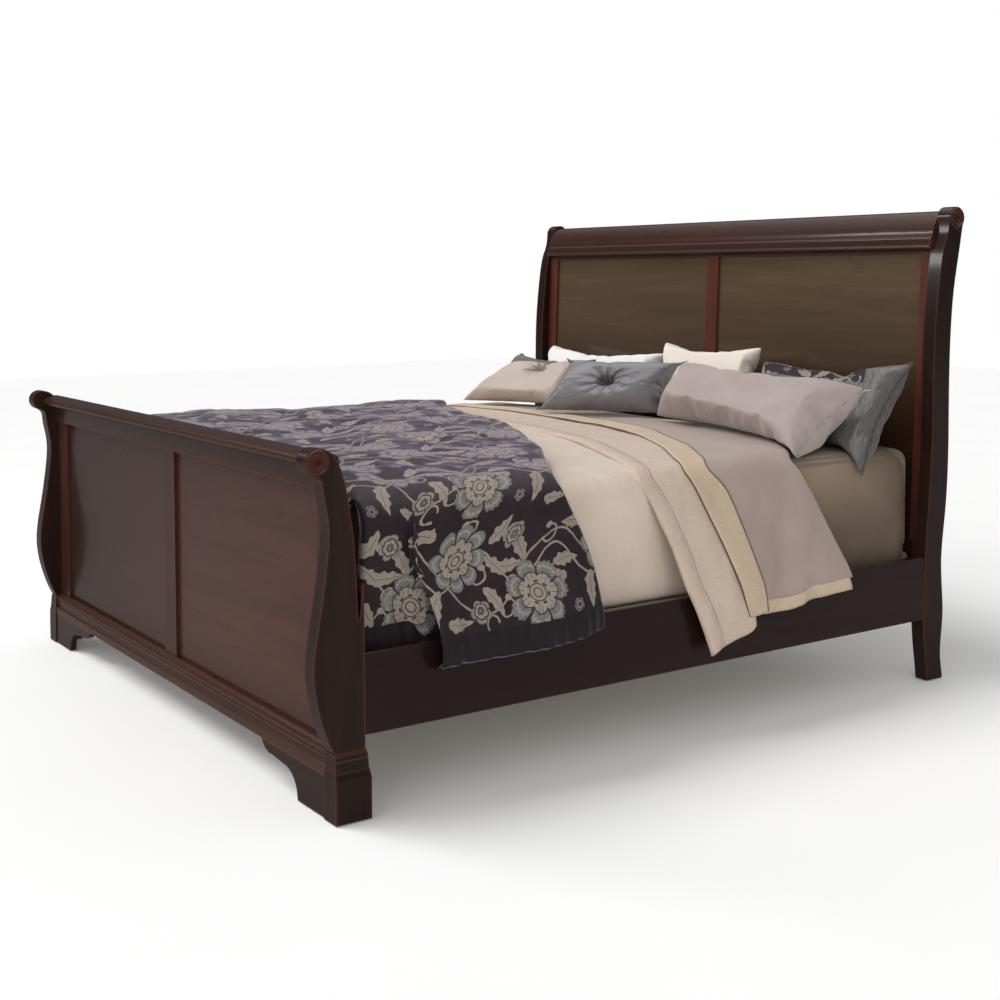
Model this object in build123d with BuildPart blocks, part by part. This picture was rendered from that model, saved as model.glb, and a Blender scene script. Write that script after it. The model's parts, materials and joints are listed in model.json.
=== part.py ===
"""King-size sleigh bed, dressed with its bedding.

Frame of the model: millimetres, +Z up, +Y from the footboard to the headboard,
+X to the right for a person standing at the foot and looking at the headboard.
The origin is on the floor, under the middle of the bed.
"""
from build123d import *
import math
import os

os.makedirs("parts", exist_ok=True)

# ---------------------------------------------------------------- driving dimensions
block_half_width = 1055.0      # outer faces of the footboard's corner blocks
post_half_width = 1040.0       # outer faces of all four posts
post_thick = 46.0
post_inner = post_half_width - post_thick
rail_outer = 1038.0            # outer faces of the side rails
rail_thick = 25.0
rail_inner = rail_outer - rail_thick
rail_bottom = 203.0
rail_top = 405.0

foot_face = -1134.5            # front face of the corner blocks
post_back = foot_face + 91.0   # back of the footboard posts, where the rails start
head_face = foot_face + 2163.0 # front of the headboard posts, where the rails end

glide_height = 3.0
block_depth = 100.0
block_width = block_half_width - post_inner
block_plain_top = 103.0        # the block's moulding starts here
block_top = 170.0              # and the post stands on this level

scroll_foot_radius = 33.0
scroll_foot_y = foot_face - 34.0
scroll_foot_z = 877.0
scroll_head_radius = 36.0
scroll_head_y = head_face + 137.0
scroll_head_z = 1488.0

frame_thick = 25.0             # stiles and rails of both panel frames
panel_thick = 10.0
panel_recess = 10.0            # panel face behind the stile face
panel_tongue = 8.0             # panel edge let into its groove
groove_play = 0.3

foot_frame_y = foot_face + 26.0
foot_stile_width = 80.0
foot_center_half = 42.0
foot_panel_bottom = 176.0
foot_panel_top = 800.0

head_lean = 2.5                # degrees that the headboard's panels lean back
head_stile_width = 48.0
head_center_half = 30.0
head_frame_y = head_face + 69.0
head_frame_z = 980.0           # height at which the leaning frame's face is at head_frame_y
head_panel_low = 450.0
head_frame_low = 330.0
head_frame_high = 1398.0

mattress_half = 965.0
mattress_length = 2030.0
mattress_foot = foot_face + 158.0
mattress_head = mattress_foot + mattress_length
slat_thick = 20.0
slat_bottom = 235.0
box_bottom = slat_bottom + slat_thick
box_top = 410.0
mattress_top = 745.0

slat_count = 5
slat_width = 90.0
slat_first = foot_face + 320.0
slat_pitch = 390.0


def save(part, name):
    """Label one finished piece and write it to its own file."""
    part.label = name
    export_step(part, f"parts/{name}.step")


def sided(name, side):
    """Name of the left (side -1) or right (side +1) copy of a piece."""
    return f"{name}_{'right' if side > 0 else 'left'}"


# ---------------------------------------------------------------- hook hardware sizes
# Each rail end has a steel hook plate; its two hooks drop into a slotted plate in the post.
hook_plate_thick = 2.5
hook_plate_x = rail_inner - hook_plate_thick
hook_plate_long = 80.0
hook_plate_low = 250.0
hook_plate_high = 370.0
hook_lows = (262.0, 324.0)
hook_high = 34.0
hook_reach = 11.0
slot_plate_thick = 2.0
slot_plate_half = 13.0
slot_plate_low = 242.0
slot_plate_high = 378.0
slot_width = 5.0
slot_low_play = 6.0
slot_high_play = 8.0
mortise_depth = 16.0
slot_center = hook_plate_x + hook_plate_thick / 2


def box_between(low, high):
    """A box given by its lowest and highest corners."""
    size = [high[i] - low[i] for i in range(3)]
    center = [(high[i] + low[i]) / 2 for i in range(3)]
    return Pos(*center) * Box(*size, mode=Mode.PRIVATE)


def mirrored(x_low, x_high, side):
    """The X span of a piece on the right (side +1) or left (side -1)."""
    return (x_low, x_high) if side > 0 else (-x_high, -x_low)


slot_screw_long = 20.0
screw_play = 0.15
slot_screw_heights = (249.0, 310.0, 371.0)


def screw_shape(length, grow=0.0):
    """A countersunk wood screw along +Z, its head's flat face at Z = 0 and its tip at -length."""
    head = Pos(0, 0, -1.5) * Cone(2.0 + grow, 4.0 + grow, 3.0, mode=Mode.PRIVATE)
    shank = Pos(0, 0, -length / 2 - 1.0) * Cylinder(2.0 + grow, length - 2.0 + grow, mode=Mode.PRIVATE)
    return head + shank


def turned(shape, origin, direction):
    """The shape's +Z axis turned to a direction and its zero moved to origin."""
    return Plane(origin=origin, z_dir=direction).location * shape


def slot_screws(side, face_y, into, grow=0.0):
    """Screws that hold one slotted plate in its post; into points into the wood."""
    shape = screw_shape(slot_screw_long, grow)
    return [turned(shape, (side * slot_center, face_y, z), (0, -into, 0)) for z in slot_screw_heights]


def post_recess(side, face_y, into):
    """The plate recess and the hook mortises of one post; into is the Y direction into the wood."""
    x_low, x_high = mirrored(slot_center - slot_plate_half, slot_center + slot_plate_half, side)
    depth = into * (slot_plate_thick + 0.2)
    y_low, y_high = sorted((face_y - into * 8.0, face_y + depth))
    low_corner = (x_low - 0.2, y_low, slot_plate_low - 0.2)
    cut = box_between(low_corner, (x_high + 0.2, y_high, slot_plate_high + 0.2))
    x_low, x_high = mirrored(slot_center - slot_width / 2, slot_center + slot_width / 2, side)
    y_low, y_high = sorted((face_y, face_y + into * mortise_depth))
    for low in hook_lows:
        slot_top = low + hook_high + slot_high_play
        cut += box_between((x_low, y_low, low - slot_low_play), (x_high, y_high, slot_top))
    return [cut] + slot_screws(side, face_y, into, screw_play)


# ---------------------------------------------------------------- posts
def footboard_post(side):
    """S-shaped footboard post with a forward scroll, standing on its corner block."""
    start = math.radians(250)
    join = (
        scroll_foot_y + scroll_foot_radius * math.cos(start),
        scroll_foot_z + scroll_foot_radius * math.sin(start),
    )
    y = foot_face
    x_face = post_inner if side > 0 else -post_half_width
    recess = post_recess(side, post_back, -1)
    with BuildPart() as post:
        with BuildSketch(Plane.YZ.offset(x_face)):
            with BuildLine():
                Spline(
                    (y + 6, block_top), (y - 31, 262), (y - 49, 366), (y - 32, 500), (y - 10, 640),
                    (y - 7, 735), (y - 20, 808), join,
                    tangents=[(-0.5, 0.87), (math.sin(start), -math.cos(start))],
                )
                ThreePointArc(
                    join,
                    (scroll_foot_y - scroll_foot_radius, scroll_foot_z),
                    (scroll_foot_y, scroll_foot_z + scroll_foot_radius),
                )
                Spline(
                    (scroll_foot_y, scroll_foot_z + scroll_foot_radius), (y + 6, 894), (y + 34, 845),
                    (y + 52, 760), (y + 68, 620), (y + 80, 500), (y + 91, rail_top + 5),
                    tangents=[(1, 0), (0, -1)],
                )
                Line((y + 91, rail_top + 5), (y + 91, block_top))
                Line((y + 91, block_top), (y + 6, block_top))
            make_face()
        extrude(amount=post_thick)
        add(recess, mode=Mode.SUBTRACT)
    return post.part


def headboard_post(side):
    """Tall headboard post: a sabre leg at the floor, a long S and a backward scroll at the top."""
    y = head_face
    back = math.radians(-15)
    tail = (
        scroll_head_y + scroll_head_radius * math.cos(back),
        scroll_head_z + scroll_head_radius * math.sin(back),
    )
    x_face = post_inner if side > 0 else -post_half_width
    recess = post_recess(side, head_face, 1)
    with BuildPart() as post:
        with BuildSketch(Plane.YZ.offset(x_face)):
            with BuildLine():
                Spline(
                    (y + 24, glide_height), (y + 6, 130), (y, 300), (y + 15, 520), (y + 31, 740),
                    (y + 35, 950), (y + 39, 1110), (y + 54, 1270), (y + 79, 1400),
                    (scroll_head_y - scroll_head_radius, scroll_head_z),
                    tangents=[(-0.1, 1), (0.05, 1)],
                )
                ThreePointArc(
                    (scroll_head_y - scroll_head_radius, scroll_head_z),
                    (scroll_head_y + 8, scroll_head_z + math.sqrt(scroll_head_radius**2 - 8**2)),
                    tail,
                )
                Spline(
                    tail, (y + 156, 1400), (y + 132, 1280), (y + 116, 1120), (y + 112, 940), (y + 113, 760),
                    (y + 101, 540), (y + 85, 375), (y + 95, 200), (y + 86, 75), (y + 97, glide_height),
                    tangents=[(math.sin(back), -math.cos(back)), (0.12, -1)],
                )
                Line((y + 97, glide_height), (y + 24, glide_height))
            make_face()
        extrude(amount=post_thick)
        add(recess, mode=Mode.SUBTRACT)
    return post.part


def rosette(side, y, z, radius):
    """Turned bull's-eye rosette on the outer face of a scroll."""
    reach = radius - 2.0
    axis_plane = Plane(origin=(0, y, z), x_dir=(1, 0, 0), z_dir=(0, 0, 1))

    def at(height, share):
        return (side * (post_half_width + height), reach * share)

    with BuildPart() as disc:
        with BuildSketch(axis_plane):
            with BuildLine():
                Polyline(
                    at(0, 0), at(0, 1), at(3, 1), at(5.5, 0.93), at(5.5, 0.80), at(2.5, 0.72), at(2.5, 0.64)
                )
                ThreePointArc(at(2.5, 0.64), at(5.5, 0.50), at(2.5, 0.36))
                Polyline(
                    at(2.5, 0.36), at(2.5, 0.30), at(5.6, 0.25), at(7.2, 0.15), at(7.6, 0.06), at(7.6, 0),
                    at(0, 0),
                )
            make_face()
        revolve(axis=Axis((0, y, z), (1, 0, 0)))
    return disc.part


for side in (-1, 1):
    save(footboard_post(side), sided("footboard_post", side))
    save(headboard_post(side), sided("headboard_post", side))

foot_rosettes = [rosette(side, scroll_foot_y, scroll_foot_z, scroll_foot_radius) for side in (-1, 1)]
head_rosettes = [rosette(side, scroll_head_y, scroll_head_z, scroll_head_radius) for side in (-1, 1)]
save(Compound(children=foot_rosettes), "footboard_rosettes")
save(Compound(children=head_rosettes), "headboard_rosettes")


# ---------------------------------------------------------------- footboard panel frame
def grooved_bar(low, high, groove_cuts):
    """A straight frame member between two corners, less the grooves that hold the panel edges."""
    with BuildPart() as bar:
        add(box_between(low, high))
        for cut_low, cut_high in groove_cuts:
            add(box_between(cut_low, cut_high), mode=Mode.SUBTRACT)
    return bar.part


foot_back_y = foot_frame_y + frame_thick
foot_panel_y = foot_frame_y + panel_recess
foot_groove_front = foot_panel_y - groove_play
foot_groove_back = foot_panel_y + panel_thick + groove_play
foot_stile_inner = post_inner - foot_stile_width
foot_tongue = panel_tongue + groove_play


def foot_groove(x_edge, into, z_low, z_high):
    """Groove in a footboard stile; into is the X direction into the wood."""
    x_low, x_high = sorted((x_edge, x_edge + into * foot_tongue))
    return ((x_low, foot_groove_front, z_low), (x_high, foot_groove_back, z_high))


for side in (-1, 1):
    x_low, x_high = mirrored(foot_stile_inner, post_inner, side)
    stile = grooved_bar(
        (x_low, foot_frame_y, foot_panel_bottom), (x_high, foot_back_y, foot_panel_top),
        [foot_groove(side * foot_stile_inner, side, foot_panel_bottom, foot_panel_top)],
    )
    save(stile, sided("footboard_stile", side))
    x_low, x_high = mirrored(foot_center_half - panel_tongue, foot_stile_inner + panel_tongue, side)
    with BuildPart() as panel:
        add(
            box_between(
                (x_low, foot_panel_y, foot_panel_bottom - panel_tongue),
                (x_high, foot_panel_y + panel_thick, foot_panel_top + panel_tongue),
            )
        )
    save(panel.part, sided("footboard_panel", side))

center_stile = grooved_bar(
    (-foot_center_half, foot_frame_y, foot_panel_bottom), (foot_center_half, foot_back_y, foot_panel_top),
    [
        foot_groove(foot_center_half, -1, foot_panel_bottom, foot_panel_top),
        foot_groove(-foot_center_half, 1, foot_panel_bottom, foot_panel_top),
    ],
)
save(center_stile, "footboard_center_stile")

# The top rail has a flat fascia, a thin groove above it and a roll that leans forward over it.
with BuildPart() as footboard_top_rail:
    with BuildSketch(Plane.YZ.offset(-post_inner)):
        with BuildLine():
            y = foot_face
            Polyline((y + 51, 893 - 24), (y + 51, foot_panel_top), (y + 13, foot_panel_top), (y + 13, 849))
            Line((y + 13, 849), (y + 17, 852))
            Line((y + 17, 852), (y + 12, 855))
            Spline((y + 12, 855), (y - 14, 858), (y - 31, 872), tangents=[(-1, 0), (0.1, 1)])
            Spline((y - 31, 872), (y - 12, 889), (y + 12, 893), tangents=[(0.1, 1), (1, 0)])
            Spline((y + 12, 893), (y + 40, 886), (y + 51, 869), tangents=[(1, 0), (0, -1)])
        make_face()
    extrude(amount=2 * post_inner)
    add(
        box_between(
            (-foot_stile_inner - foot_tongue, foot_groove_front, foot_panel_top),
            (foot_stile_inner + foot_tongue, foot_groove_back, foot_panel_top + foot_tongue),
        ),
        mode=Mode.SUBTRACT,
    )
save(footboard_top_rail.part, "footboard_top_rail")

# ---------------------------------------------------------------- footboard base
base_low = 108.0
base_front = foot_face + 4.0
foot_rail_low = 112.0

footboard_bottom_rail = grooved_bar(
    (-post_inner, foot_frame_y, foot_rail_low), (post_inner, foot_back_y, foot_panel_bottom),
    [
        (
            (-foot_stile_inner - foot_tongue, foot_groove_front, foot_panel_bottom - foot_tongue),
            (foot_stile_inner + foot_tongue, foot_groove_back, foot_panel_bottom),
        )
    ],
)
save(footboard_bottom_rail, "footboard_bottom_rail")

# The base moulding lies on the bottom rail: a cove, a bead, a step, a second cove and a flat fillet.
with BuildPart() as footboard_base_moulding:
    with BuildSketch(Plane.YZ.offset(-post_inner)):
        with BuildLine():
            y = base_front
            back = foot_frame_y
            Line((back, base_low), (back, 180))
            Line((back, 180), (back - 4, 180))
            ThreePointArc((back - 4, 180), (y + 12, 175), (y + 8, 168))
            ThreePointArc((y + 8, 168), (y + 3, 164), (y + 8, 160))
            Line((y + 8, 160), (y + 8, 156))
            Line((y + 8, 156), (y + 5, 154))
            Line((y + 5, 154), (y + 5, 146))
            ThreePointArc((y + 5, 146), (y + 8, 136), (y, 128))
            Line((y, 128), (y, base_low))
            Line((y, base_low), (back, base_low))
        make_face()
    extrude(amount=2 * post_inner)
save(footboard_base_moulding.part, "footboard_base_moulding")


def corner_block(side):
    """Square foot block under a footboard post, with a stepped ogee round its top."""
    steps = [(103, 0.0), (110, 0.05), (120, 0.35), (126, 0.42), (127, 0.55), (140, 0.62), (152, 0.70)]
    steps += [(153, 0.80), (158, 0.78), (164, 0.86), (165, 1.0), (block_top, 1.0)]
    low, high = mirrored(post_inner, block_half_width, side)

    def outline(level, share):
        trim = 13.0 * share
        x_low = low + (trim if side < 0 else 0)
        x_high = high - (trim if side > 0 else 0)
        y_low = foot_face + 4.0 * share
        y_high = foot_face + block_depth - 6.0 * share
        center = ((x_low + x_high) / 2, (y_low + y_high) / 2)
        with BuildSketch(Plane.XY.offset(level)) as ring:
            with Locations(center):
                Rectangle(x_high - x_low, y_high - y_low)
        return ring.sketch

    rings = [outline(level, share) for level, share in steps]
    plain = box_between((low, foot_face, glide_height), (high, foot_face + block_depth, block_plain_top))
    with BuildPart() as block:
        add(plain)
        loft(sections=rings, ruled=True)
    return block.part


bracket_thick = 22.0
bracket_toe = 851.0            # where the foot's flat underside ends, from the bed's middle
bracket_step = 792.0           # top of the hollow behind the toe
bracket_tail = 712.0           # start of the last curve up to the moulding
bracket_end = 650.0
bracket_step_z = 73.0
bracket_tail_z = 80.0


def bracket_foot(side):
    """Ogee bracket foot that runs from a corner block along under the base moulding."""
    toe = (side * bracket_toe, glide_height)
    step = (side * bracket_step, bracket_step_z)
    tail = (side * bracket_tail, bracket_tail_z)
    end = (side * bracket_end, base_low)
    with BuildPart() as foot:
        with BuildSketch(Plane.XZ.offset(-base_front)):
            with BuildLine():
                Polyline(end, (side * post_inner, base_low), (side * post_inner, glide_height), toe)
                ThreePointArc(toe, (side * (bracket_step + 46), 45), step)
                Line(step, tail)
                ThreePointArc(tail, (side * (bracket_end + 20), bracket_tail_z + 8), end)
            make_face()
        extrude(amount=-bracket_thick)
    return foot.part


def corner_glue_block(side):
    """Triangular block glued behind the bracket foot and against the corner block."""
    end = post_inner
    y_front = base_front + bracket_thick
    with BuildPart() as block:
        with BuildSketch(Plane.XY.offset(20)):
            with BuildLine():
                Polyline(
                    (side * end, y_front), (side * (end - 60), y_front), (side * end, y_front + 60),
                    (side * end, y_front),
                )
            make_face()
        extrude(amount=88)
    return block.part


for side in (-1, 1):
    save(corner_block(side), sided("corner_block", side))
    save(bracket_foot(side), sided("bracket_foot", side))

save(Compound(children=[corner_glue_block(side) for side in (-1, 1)]), "corner_glue_blocks")

# ---------------------------------------------------------------- headboard panel frame
lean = math.radians(head_lean)
head_plane = Plane(
    origin=(0, head_frame_y, head_frame_z),
    x_dir=(1, 0, 0),
    z_dir=(0, -math.cos(lean), math.sin(lean)),
)
head_stile_inner = post_inner - head_stile_width
head_low = (head_frame_low - head_frame_z) / math.cos(lean)
head_panel_bottom = (head_panel_low - head_frame_z) / math.cos(lean)
head_high = (head_frame_high - head_frame_z) / math.cos(lean)
head_rail_height = 22.0
head_panel_top = head_high - head_rail_height
head_tongue = panel_tongue + groove_play


def leaning_bar(x_low, x_high, up_low, up_high, front, back, cuts=()):
    """A member of the leaning frame; front and back are depths behind the frame's face."""
    with BuildPart() as bar:
        with BuildSketch(head_plane.offset(-back)):
            with Locations(((x_low + x_high) / 2, (up_low + up_high) / 2)):
                Rectangle(x_high - x_low, up_high - up_low)
        extrude(amount=back - front)
        for cut_x_low, cut_x_high, cut_low, cut_high in cuts:
            with BuildSketch(head_plane.offset(-(panel_recess + panel_thick + groove_play))):
                with Locations(((cut_x_low + cut_x_high) / 2, (cut_low + cut_high) / 2)):
                    Rectangle(cut_x_high - cut_x_low, cut_high - cut_low)
            extrude(amount=panel_thick + 2 * groove_play, mode=Mode.SUBTRACT)
    return bar.part


def head_groove(x_edge, into):
    """Groove in a headboard stile; into is the X direction into the wood."""
    x_low, x_high = sorted((x_edge, x_edge + into * head_tongue))
    return (x_low, x_high, head_panel_bottom, head_panel_top)


for side in (-1, 1):
    x_low, x_high = mirrored(head_stile_inner, post_inner, side)
    stile = leaning_bar(
        x_low, x_high, head_panel_bottom, head_panel_top, 0, frame_thick,
        [head_groove(side * head_stile_inner, side)],
    )
    save(stile, sided("headboard_stile", side))
    x_low, x_high = mirrored(head_center_half - panel_tongue, head_stile_inner + panel_tongue, side)
    panel = leaning_bar(
        x_low, x_high, head_panel_bottom - panel_tongue, head_panel_top + panel_tongue,
        panel_recess, panel_recess + panel_thick,
    )
    save(panel, sided("headboard_panel", side))

center_stile = leaning_bar(
    -head_center_half, head_center_half, head_panel_bottom, head_panel_top, 0, frame_thick,
    [head_groove(head_center_half, -1), head_groove(-head_center_half, 1)],
)
save(center_stile, "headboard_center_stile")

groove_span = (-head_stile_inner - head_tongue, head_stile_inner + head_tongue)
headboard_bottom_rail = leaning_bar(
    -post_inner, post_inner, head_low, head_panel_bottom, 0, frame_thick,
    [groove_span + (head_panel_bottom - head_tongue, head_panel_bottom)],
)
save(headboard_bottom_rail, "headboard_bottom_rail")
headboard_top_rail = leaning_bar(
    -post_inner, post_inner, head_panel_top, head_high, 0, frame_thick,
    [groove_span + (head_panel_top, head_panel_top + head_tongue)],
)
save(headboard_top_rail, "headboard_top_rail")

# The crown lies between the scrolls: a wide cove in front that rolls over backwards.
with BuildPart() as headboard_crown:
    with BuildSketch(Plane.YZ.offset(-post_inner)):
        with BuildLine():
            y = head_face
            Line((y + 77, head_frame_high), (y + 77, 1430))
            Spline(
                (y + 77, 1430), (y + 86, 1464), (y + 106, 1496), (y + 135, 1512),
                tangents=[(0, 1), (1, 0.1)],
            )
            Spline((y + 135, 1512), (y + 159, 1498), (y + 165, 1476), tangents=[(1, 0.1), (-0.05, -1)])
            Spline(
                (y + 165, 1476), (y + 157, 1436), (y + 148, head_frame_high),
                tangents=[(-0.05, -1), (-0.2, -1)],
            )
            Line((y + 148, head_frame_high), (y + 77, head_frame_high))
        make_face()
    extrude(amount=2 * post_inner)
save(headboard_crown.part, "headboard_crown")

with BuildPart() as headboard_crown_moulding:
    with BuildSketch(Plane.YZ.offset(-post_inner)):
        with BuildLine():
            y = head_face
            Polyline((y + 77, 1430), (y + 77, 1390), (y + 67, 1390))
            ThreePointArc((y + 67, 1390), (y + 62, 1396), (y + 67, 1402))
            Polyline((y + 67, 1402), (y + 70, 1404), (y + 69, 1422))
            ThreePointArc((y + 69, 1422), (y + 72, 1428), (y + 77, 1430))
        make_face()
    extrude(amount=2 * post_inner)
save(headboard_crown_moulding.part, "headboard_crown_moulding")


# ---------------------------------------------------------------- side rails and their hardware
rail_start = post_back
rail_end = head_face - 1.0
cleat_low = 207.0
cleat_wide = 25.0
cleat_inner = rail_inner - cleat_wide
cleat_start = rail_start + 110.0
cleat_end = rail_end - 110.0
cleat_screw_count = 7
cleat_screw_long = 36.0
plate_screw_long = 18.0


def cleat_screw_places():
    """Y positions of the screws along one cleat."""
    pitch = (cleat_end - cleat_start - 120.0) / (cleat_screw_count - 1)
    return [cleat_start + 60.0 + i * pitch for i in range(cleat_screw_count)]


def cleat_screws(side, grow=0.0):
    """All the screws of one cleat."""
    middle = (cleat_low + slat_bottom) / 2
    shape = screw_shape(cleat_screw_long, grow)
    return [turned(shape, (side * cleat_inner, y, middle), (-side, 0, 0)) for y in cleat_screw_places()]


def hook_screws(side, end_y, into, grow=0.0):
    """Screws that hold one hook plate to a rail; into points along the rail, away from its end."""
    shape = screw_shape(plate_screw_long, grow)
    places = [(30, 268), (30, 352), (62, 310)]
    plate_x = side * hook_plate_x
    return [turned(shape, (plate_x, end_y + into * along, z), (-side, 0, 0)) for along, z in places]


def side_rail(side):
    """Plain side rail with eased edges, less the holes for its screws."""
    x_low, x_high = mirrored(rail_inner, rail_outer, side)
    holes = cleat_screws(side, screw_play)
    holes += hook_screws(side, rail_start, 1, screw_play)
    holes += hook_screws(side, rail_end, -1, screw_play)
    with BuildPart() as rail:
        add(box_between((x_low, rail_start, rail_bottom), (x_high, rail_end, rail_top)))
        outer_edges = rail.edges().filter_by(Axis.Y).group_by(Axis.X)[-1 if side > 0 else 0]
        fillet(outer_edges, 4.0)
        add(holes, mode=Mode.SUBTRACT)
    return rail.part


def cleat(side):
    """Ledger along the inside of a rail, which carries the slats."""
    x_low, x_high = mirrored(cleat_inner, rail_inner, side)
    with BuildPart() as ledger:
        add(box_between((x_low, cleat_start, cleat_low), (x_high, cleat_end, slat_bottom)))
        add(cleat_screws(side, screw_play), mode=Mode.SUBTRACT)
    return ledger.part


def hook_plate(side, end_y, into):
    """Steel plate on the rail's inner face with two hooks that reach into the post."""
    x_low, x_high = mirrored(hook_plate_x, rail_inner, side)
    y_low, y_high = sorted((end_y, end_y + into * hook_plate_long))
    with BuildPart() as plate:
        add(box_between((x_low, y_low, hook_plate_low), (x_high, y_high, hook_plate_high)))
        y_low, y_high = sorted((end_y, end_y - into * hook_reach))
        for low in hook_lows:
            add(box_between((x_low, y_low, low + 8), (x_high, y_high, low + hook_high)))
            y_tip, y_neck = end_y - into * hook_reach, end_y - into * (slot_plate_thick + 2.5)
            tip_low, tip_high = sorted((y_tip, y_neck))
            add(box_between((x_low, tip_low, low), (x_high, tip_high, low + 8)))
        add(hook_screws(side, end_y, into, screw_play), mode=Mode.SUBTRACT)
    return plate.part


def slot_plate(side, face_y, into):
    """Slotted steel plate let into a post, which the hooks drop into."""
    x_low, x_high = mirrored(slot_center - slot_plate_half, slot_center + slot_plate_half, side)
    y_low, y_high = sorted((face_y, face_y + into * slot_plate_thick))
    slot_low, slot_high = mirrored(slot_center - slot_width / 2, slot_center + slot_width / 2, side)
    with BuildPart() as plate:
        add(box_between((x_low, y_low, slot_plate_low), (x_high, y_high, slot_plate_high)))
        for low in hook_lows:
            cut_low = low - slot_low_play
            cut_high = low + hook_high + slot_high_play
            add(
                box_between((slot_low, y_low, cut_low), (slot_high, y_high, cut_high)),
                mode=Mode.SUBTRACT,
            )
        add(slot_screws(side, face_y, into, screw_play), mode=Mode.SUBTRACT)
    return plate.part


rail_joints = [(post_back, -1, rail_start), (head_face, 1, rail_end)]
hook_plates = []
slot_plates = []
all_cleat_screws = []
all_plate_screws = []
for side in (-1, 1):
    save(side_rail(side), sided("side_rail", side))
    save(cleat(side), sided("slat_cleat", side))
    all_cleat_screws += cleat_screws(side)
    for face_y, into, end_y in rail_joints:
        hook_plates.append(hook_plate(side, end_y, -into))
        slot_plates.append(slot_plate(side, face_y, into))
        all_plate_screws += hook_screws(side, end_y, -into)
        all_plate_screws += slot_screws(side, face_y, into)
save(Compound(children=hook_plates), "hook_plates")
save(Compound(children=slot_plates), "slot_plates")
save(Compound(children=all_cleat_screws), "cleat_screws")
save(Compound(children=all_plate_screws), "plate_screws")


# ---------------------------------------------------------------- slats, centre legs and glides
slat_play = 6.0
leg_width = 45.0
leg_low = 34.0
leveller_radius = 15.0
leveller_stem = 4.0
leveller_disc = 9.0
slat_centers = [slat_first + i * slat_pitch for i in range(slat_count)]
legs = []
levellers = []
for number, y in enumerate(slat_centers, 1):
    with BuildPart() as slat:
        add(
            box_between(
                (-rail_inner + slat_play, y - slat_width / 2, slat_bottom),
                (rail_inner - slat_play, y + slat_width / 2, box_bottom),
            )
        )
        fillet(slat.edges().filter_by(Axis.X), 3.0)
    save(slat.part, f"slat_{number}")
    with BuildPart() as leg:
        add(
            box_between(
                (-leg_width / 2, y - leg_width / 2, leg_low),
                (leg_width / 2, y + leg_width / 2, slat_bottom),
            )
        )
        chamfer(leg.edges().group_by(Axis.Z)[0], 3.0)
        with Locations((0, y, leg_low + 20)):
            Cylinder(leveller_stem + 0.2, 40.4, mode=Mode.SUBTRACT)
    legs.append(leg.part)
    with BuildPart() as leveller:
        with Locations((0, y, leveller_disc / 2)):
            Cylinder(leveller_radius, leveller_disc)
        fillet(leveller.edges().group_by(Axis.Z)[-1], 3.0)
        with Locations((0, y, (leveller_disc + leg_low + 38) / 2)):
            Cylinder(leveller_stem, leg_low + 38 - leveller_disc)
    levellers.append(leveller.part)
save(Compound(children=legs), "slat_legs")
save(Compound(children=levellers), "leg_levellers")

glides = []
foot_glide_y = foot_face + block_depth / 2
head_glide_y = head_face + 60.0
for side in (-1, 1):
    for x, y, radius in (
        (side * (post_inner + block_width / 2), foot_glide_y, 20.0),
        (side * (post_inner + post_thick / 2), head_glide_y, 14.0),
    ):
        with BuildPart() as glide:
            with Locations((x, y, glide_height / 2)):
                Cylinder(radius, glide_height)
            chamfer(glide.edges().group_by(Axis.Z)[0], 0.8)
        glides.append(glide.part)
save(Compound(children=glides), "floor_glides")


# ---------------------------------------------------------------- foundation and mattress
def soft_box(low, high, radius):
    """A box with all its edges rounded."""
    with BuildPart() as block:
        add(box_between(low, high))
        fillet(block.edges(), radius)
    return block.part


foundation_gap = 2.0
for side in (-1, 1):
    x_low, x_high = mirrored(foundation_gap, mattress_half, side)
    half = soft_box((x_low, mattress_foot, box_bottom), (x_high, mattress_head, box_top), 18.0)
    save(half, sided("box_spring", side))

mattress_radius = 42.0
mattress = soft_box(
    (-mattress_half, mattress_foot, box_top), (mattress_half, mattress_head, mattress_top), mattress_radius
)
save(mattress, "mattress")

sheet_gap = 0.4
sheet_thick = 2.0
sheet_hem = 432.0


def grown(distance):
    """The mattress's shape, larger by a distance on every side."""
    return soft_box(
        (-mattress_half - distance, mattress_foot - distance, box_top - distance),
        (mattress_half + distance, mattress_head + distance, mattress_top + distance),
        mattress_radius + distance,
    )


outer_sheet = grown(sheet_gap + sheet_thick)
inner_sheet = grown(sheet_gap)
with BuildPart() as fitted_sheet:
    add(outer_sheet)
    add(inner_sheet, mode=Mode.SUBTRACT)
    split(bisect_by=Plane.XY.offset(sheet_hem), keep=Keep.TOP)
save(fitted_sheet.part, "fitted_sheet")

# ---------------------------------------------------------------- layers of bedding
bed_top = mattress_top + sheet_gap + sheet_thick
bed_half = mattress_half + sheet_gap + sheet_thick


def side_of_drape(sign, half, top, round_off, low_half, knee, hem):
    """One side of a draped outline in the current BuildLine, from its hem up to the flat top."""
    cut = round_off * (1 - math.sqrt(0.5))
    Line((sign * low_half, hem), (sign * low_half, knee))
    Line((sign * low_half, knee), (sign * half, top - round_off))
    ThreePointArc(
        (sign * half, top - round_off), (sign * (half - cut), top - cut), (sign * (half - round_off), top)
    )


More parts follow.
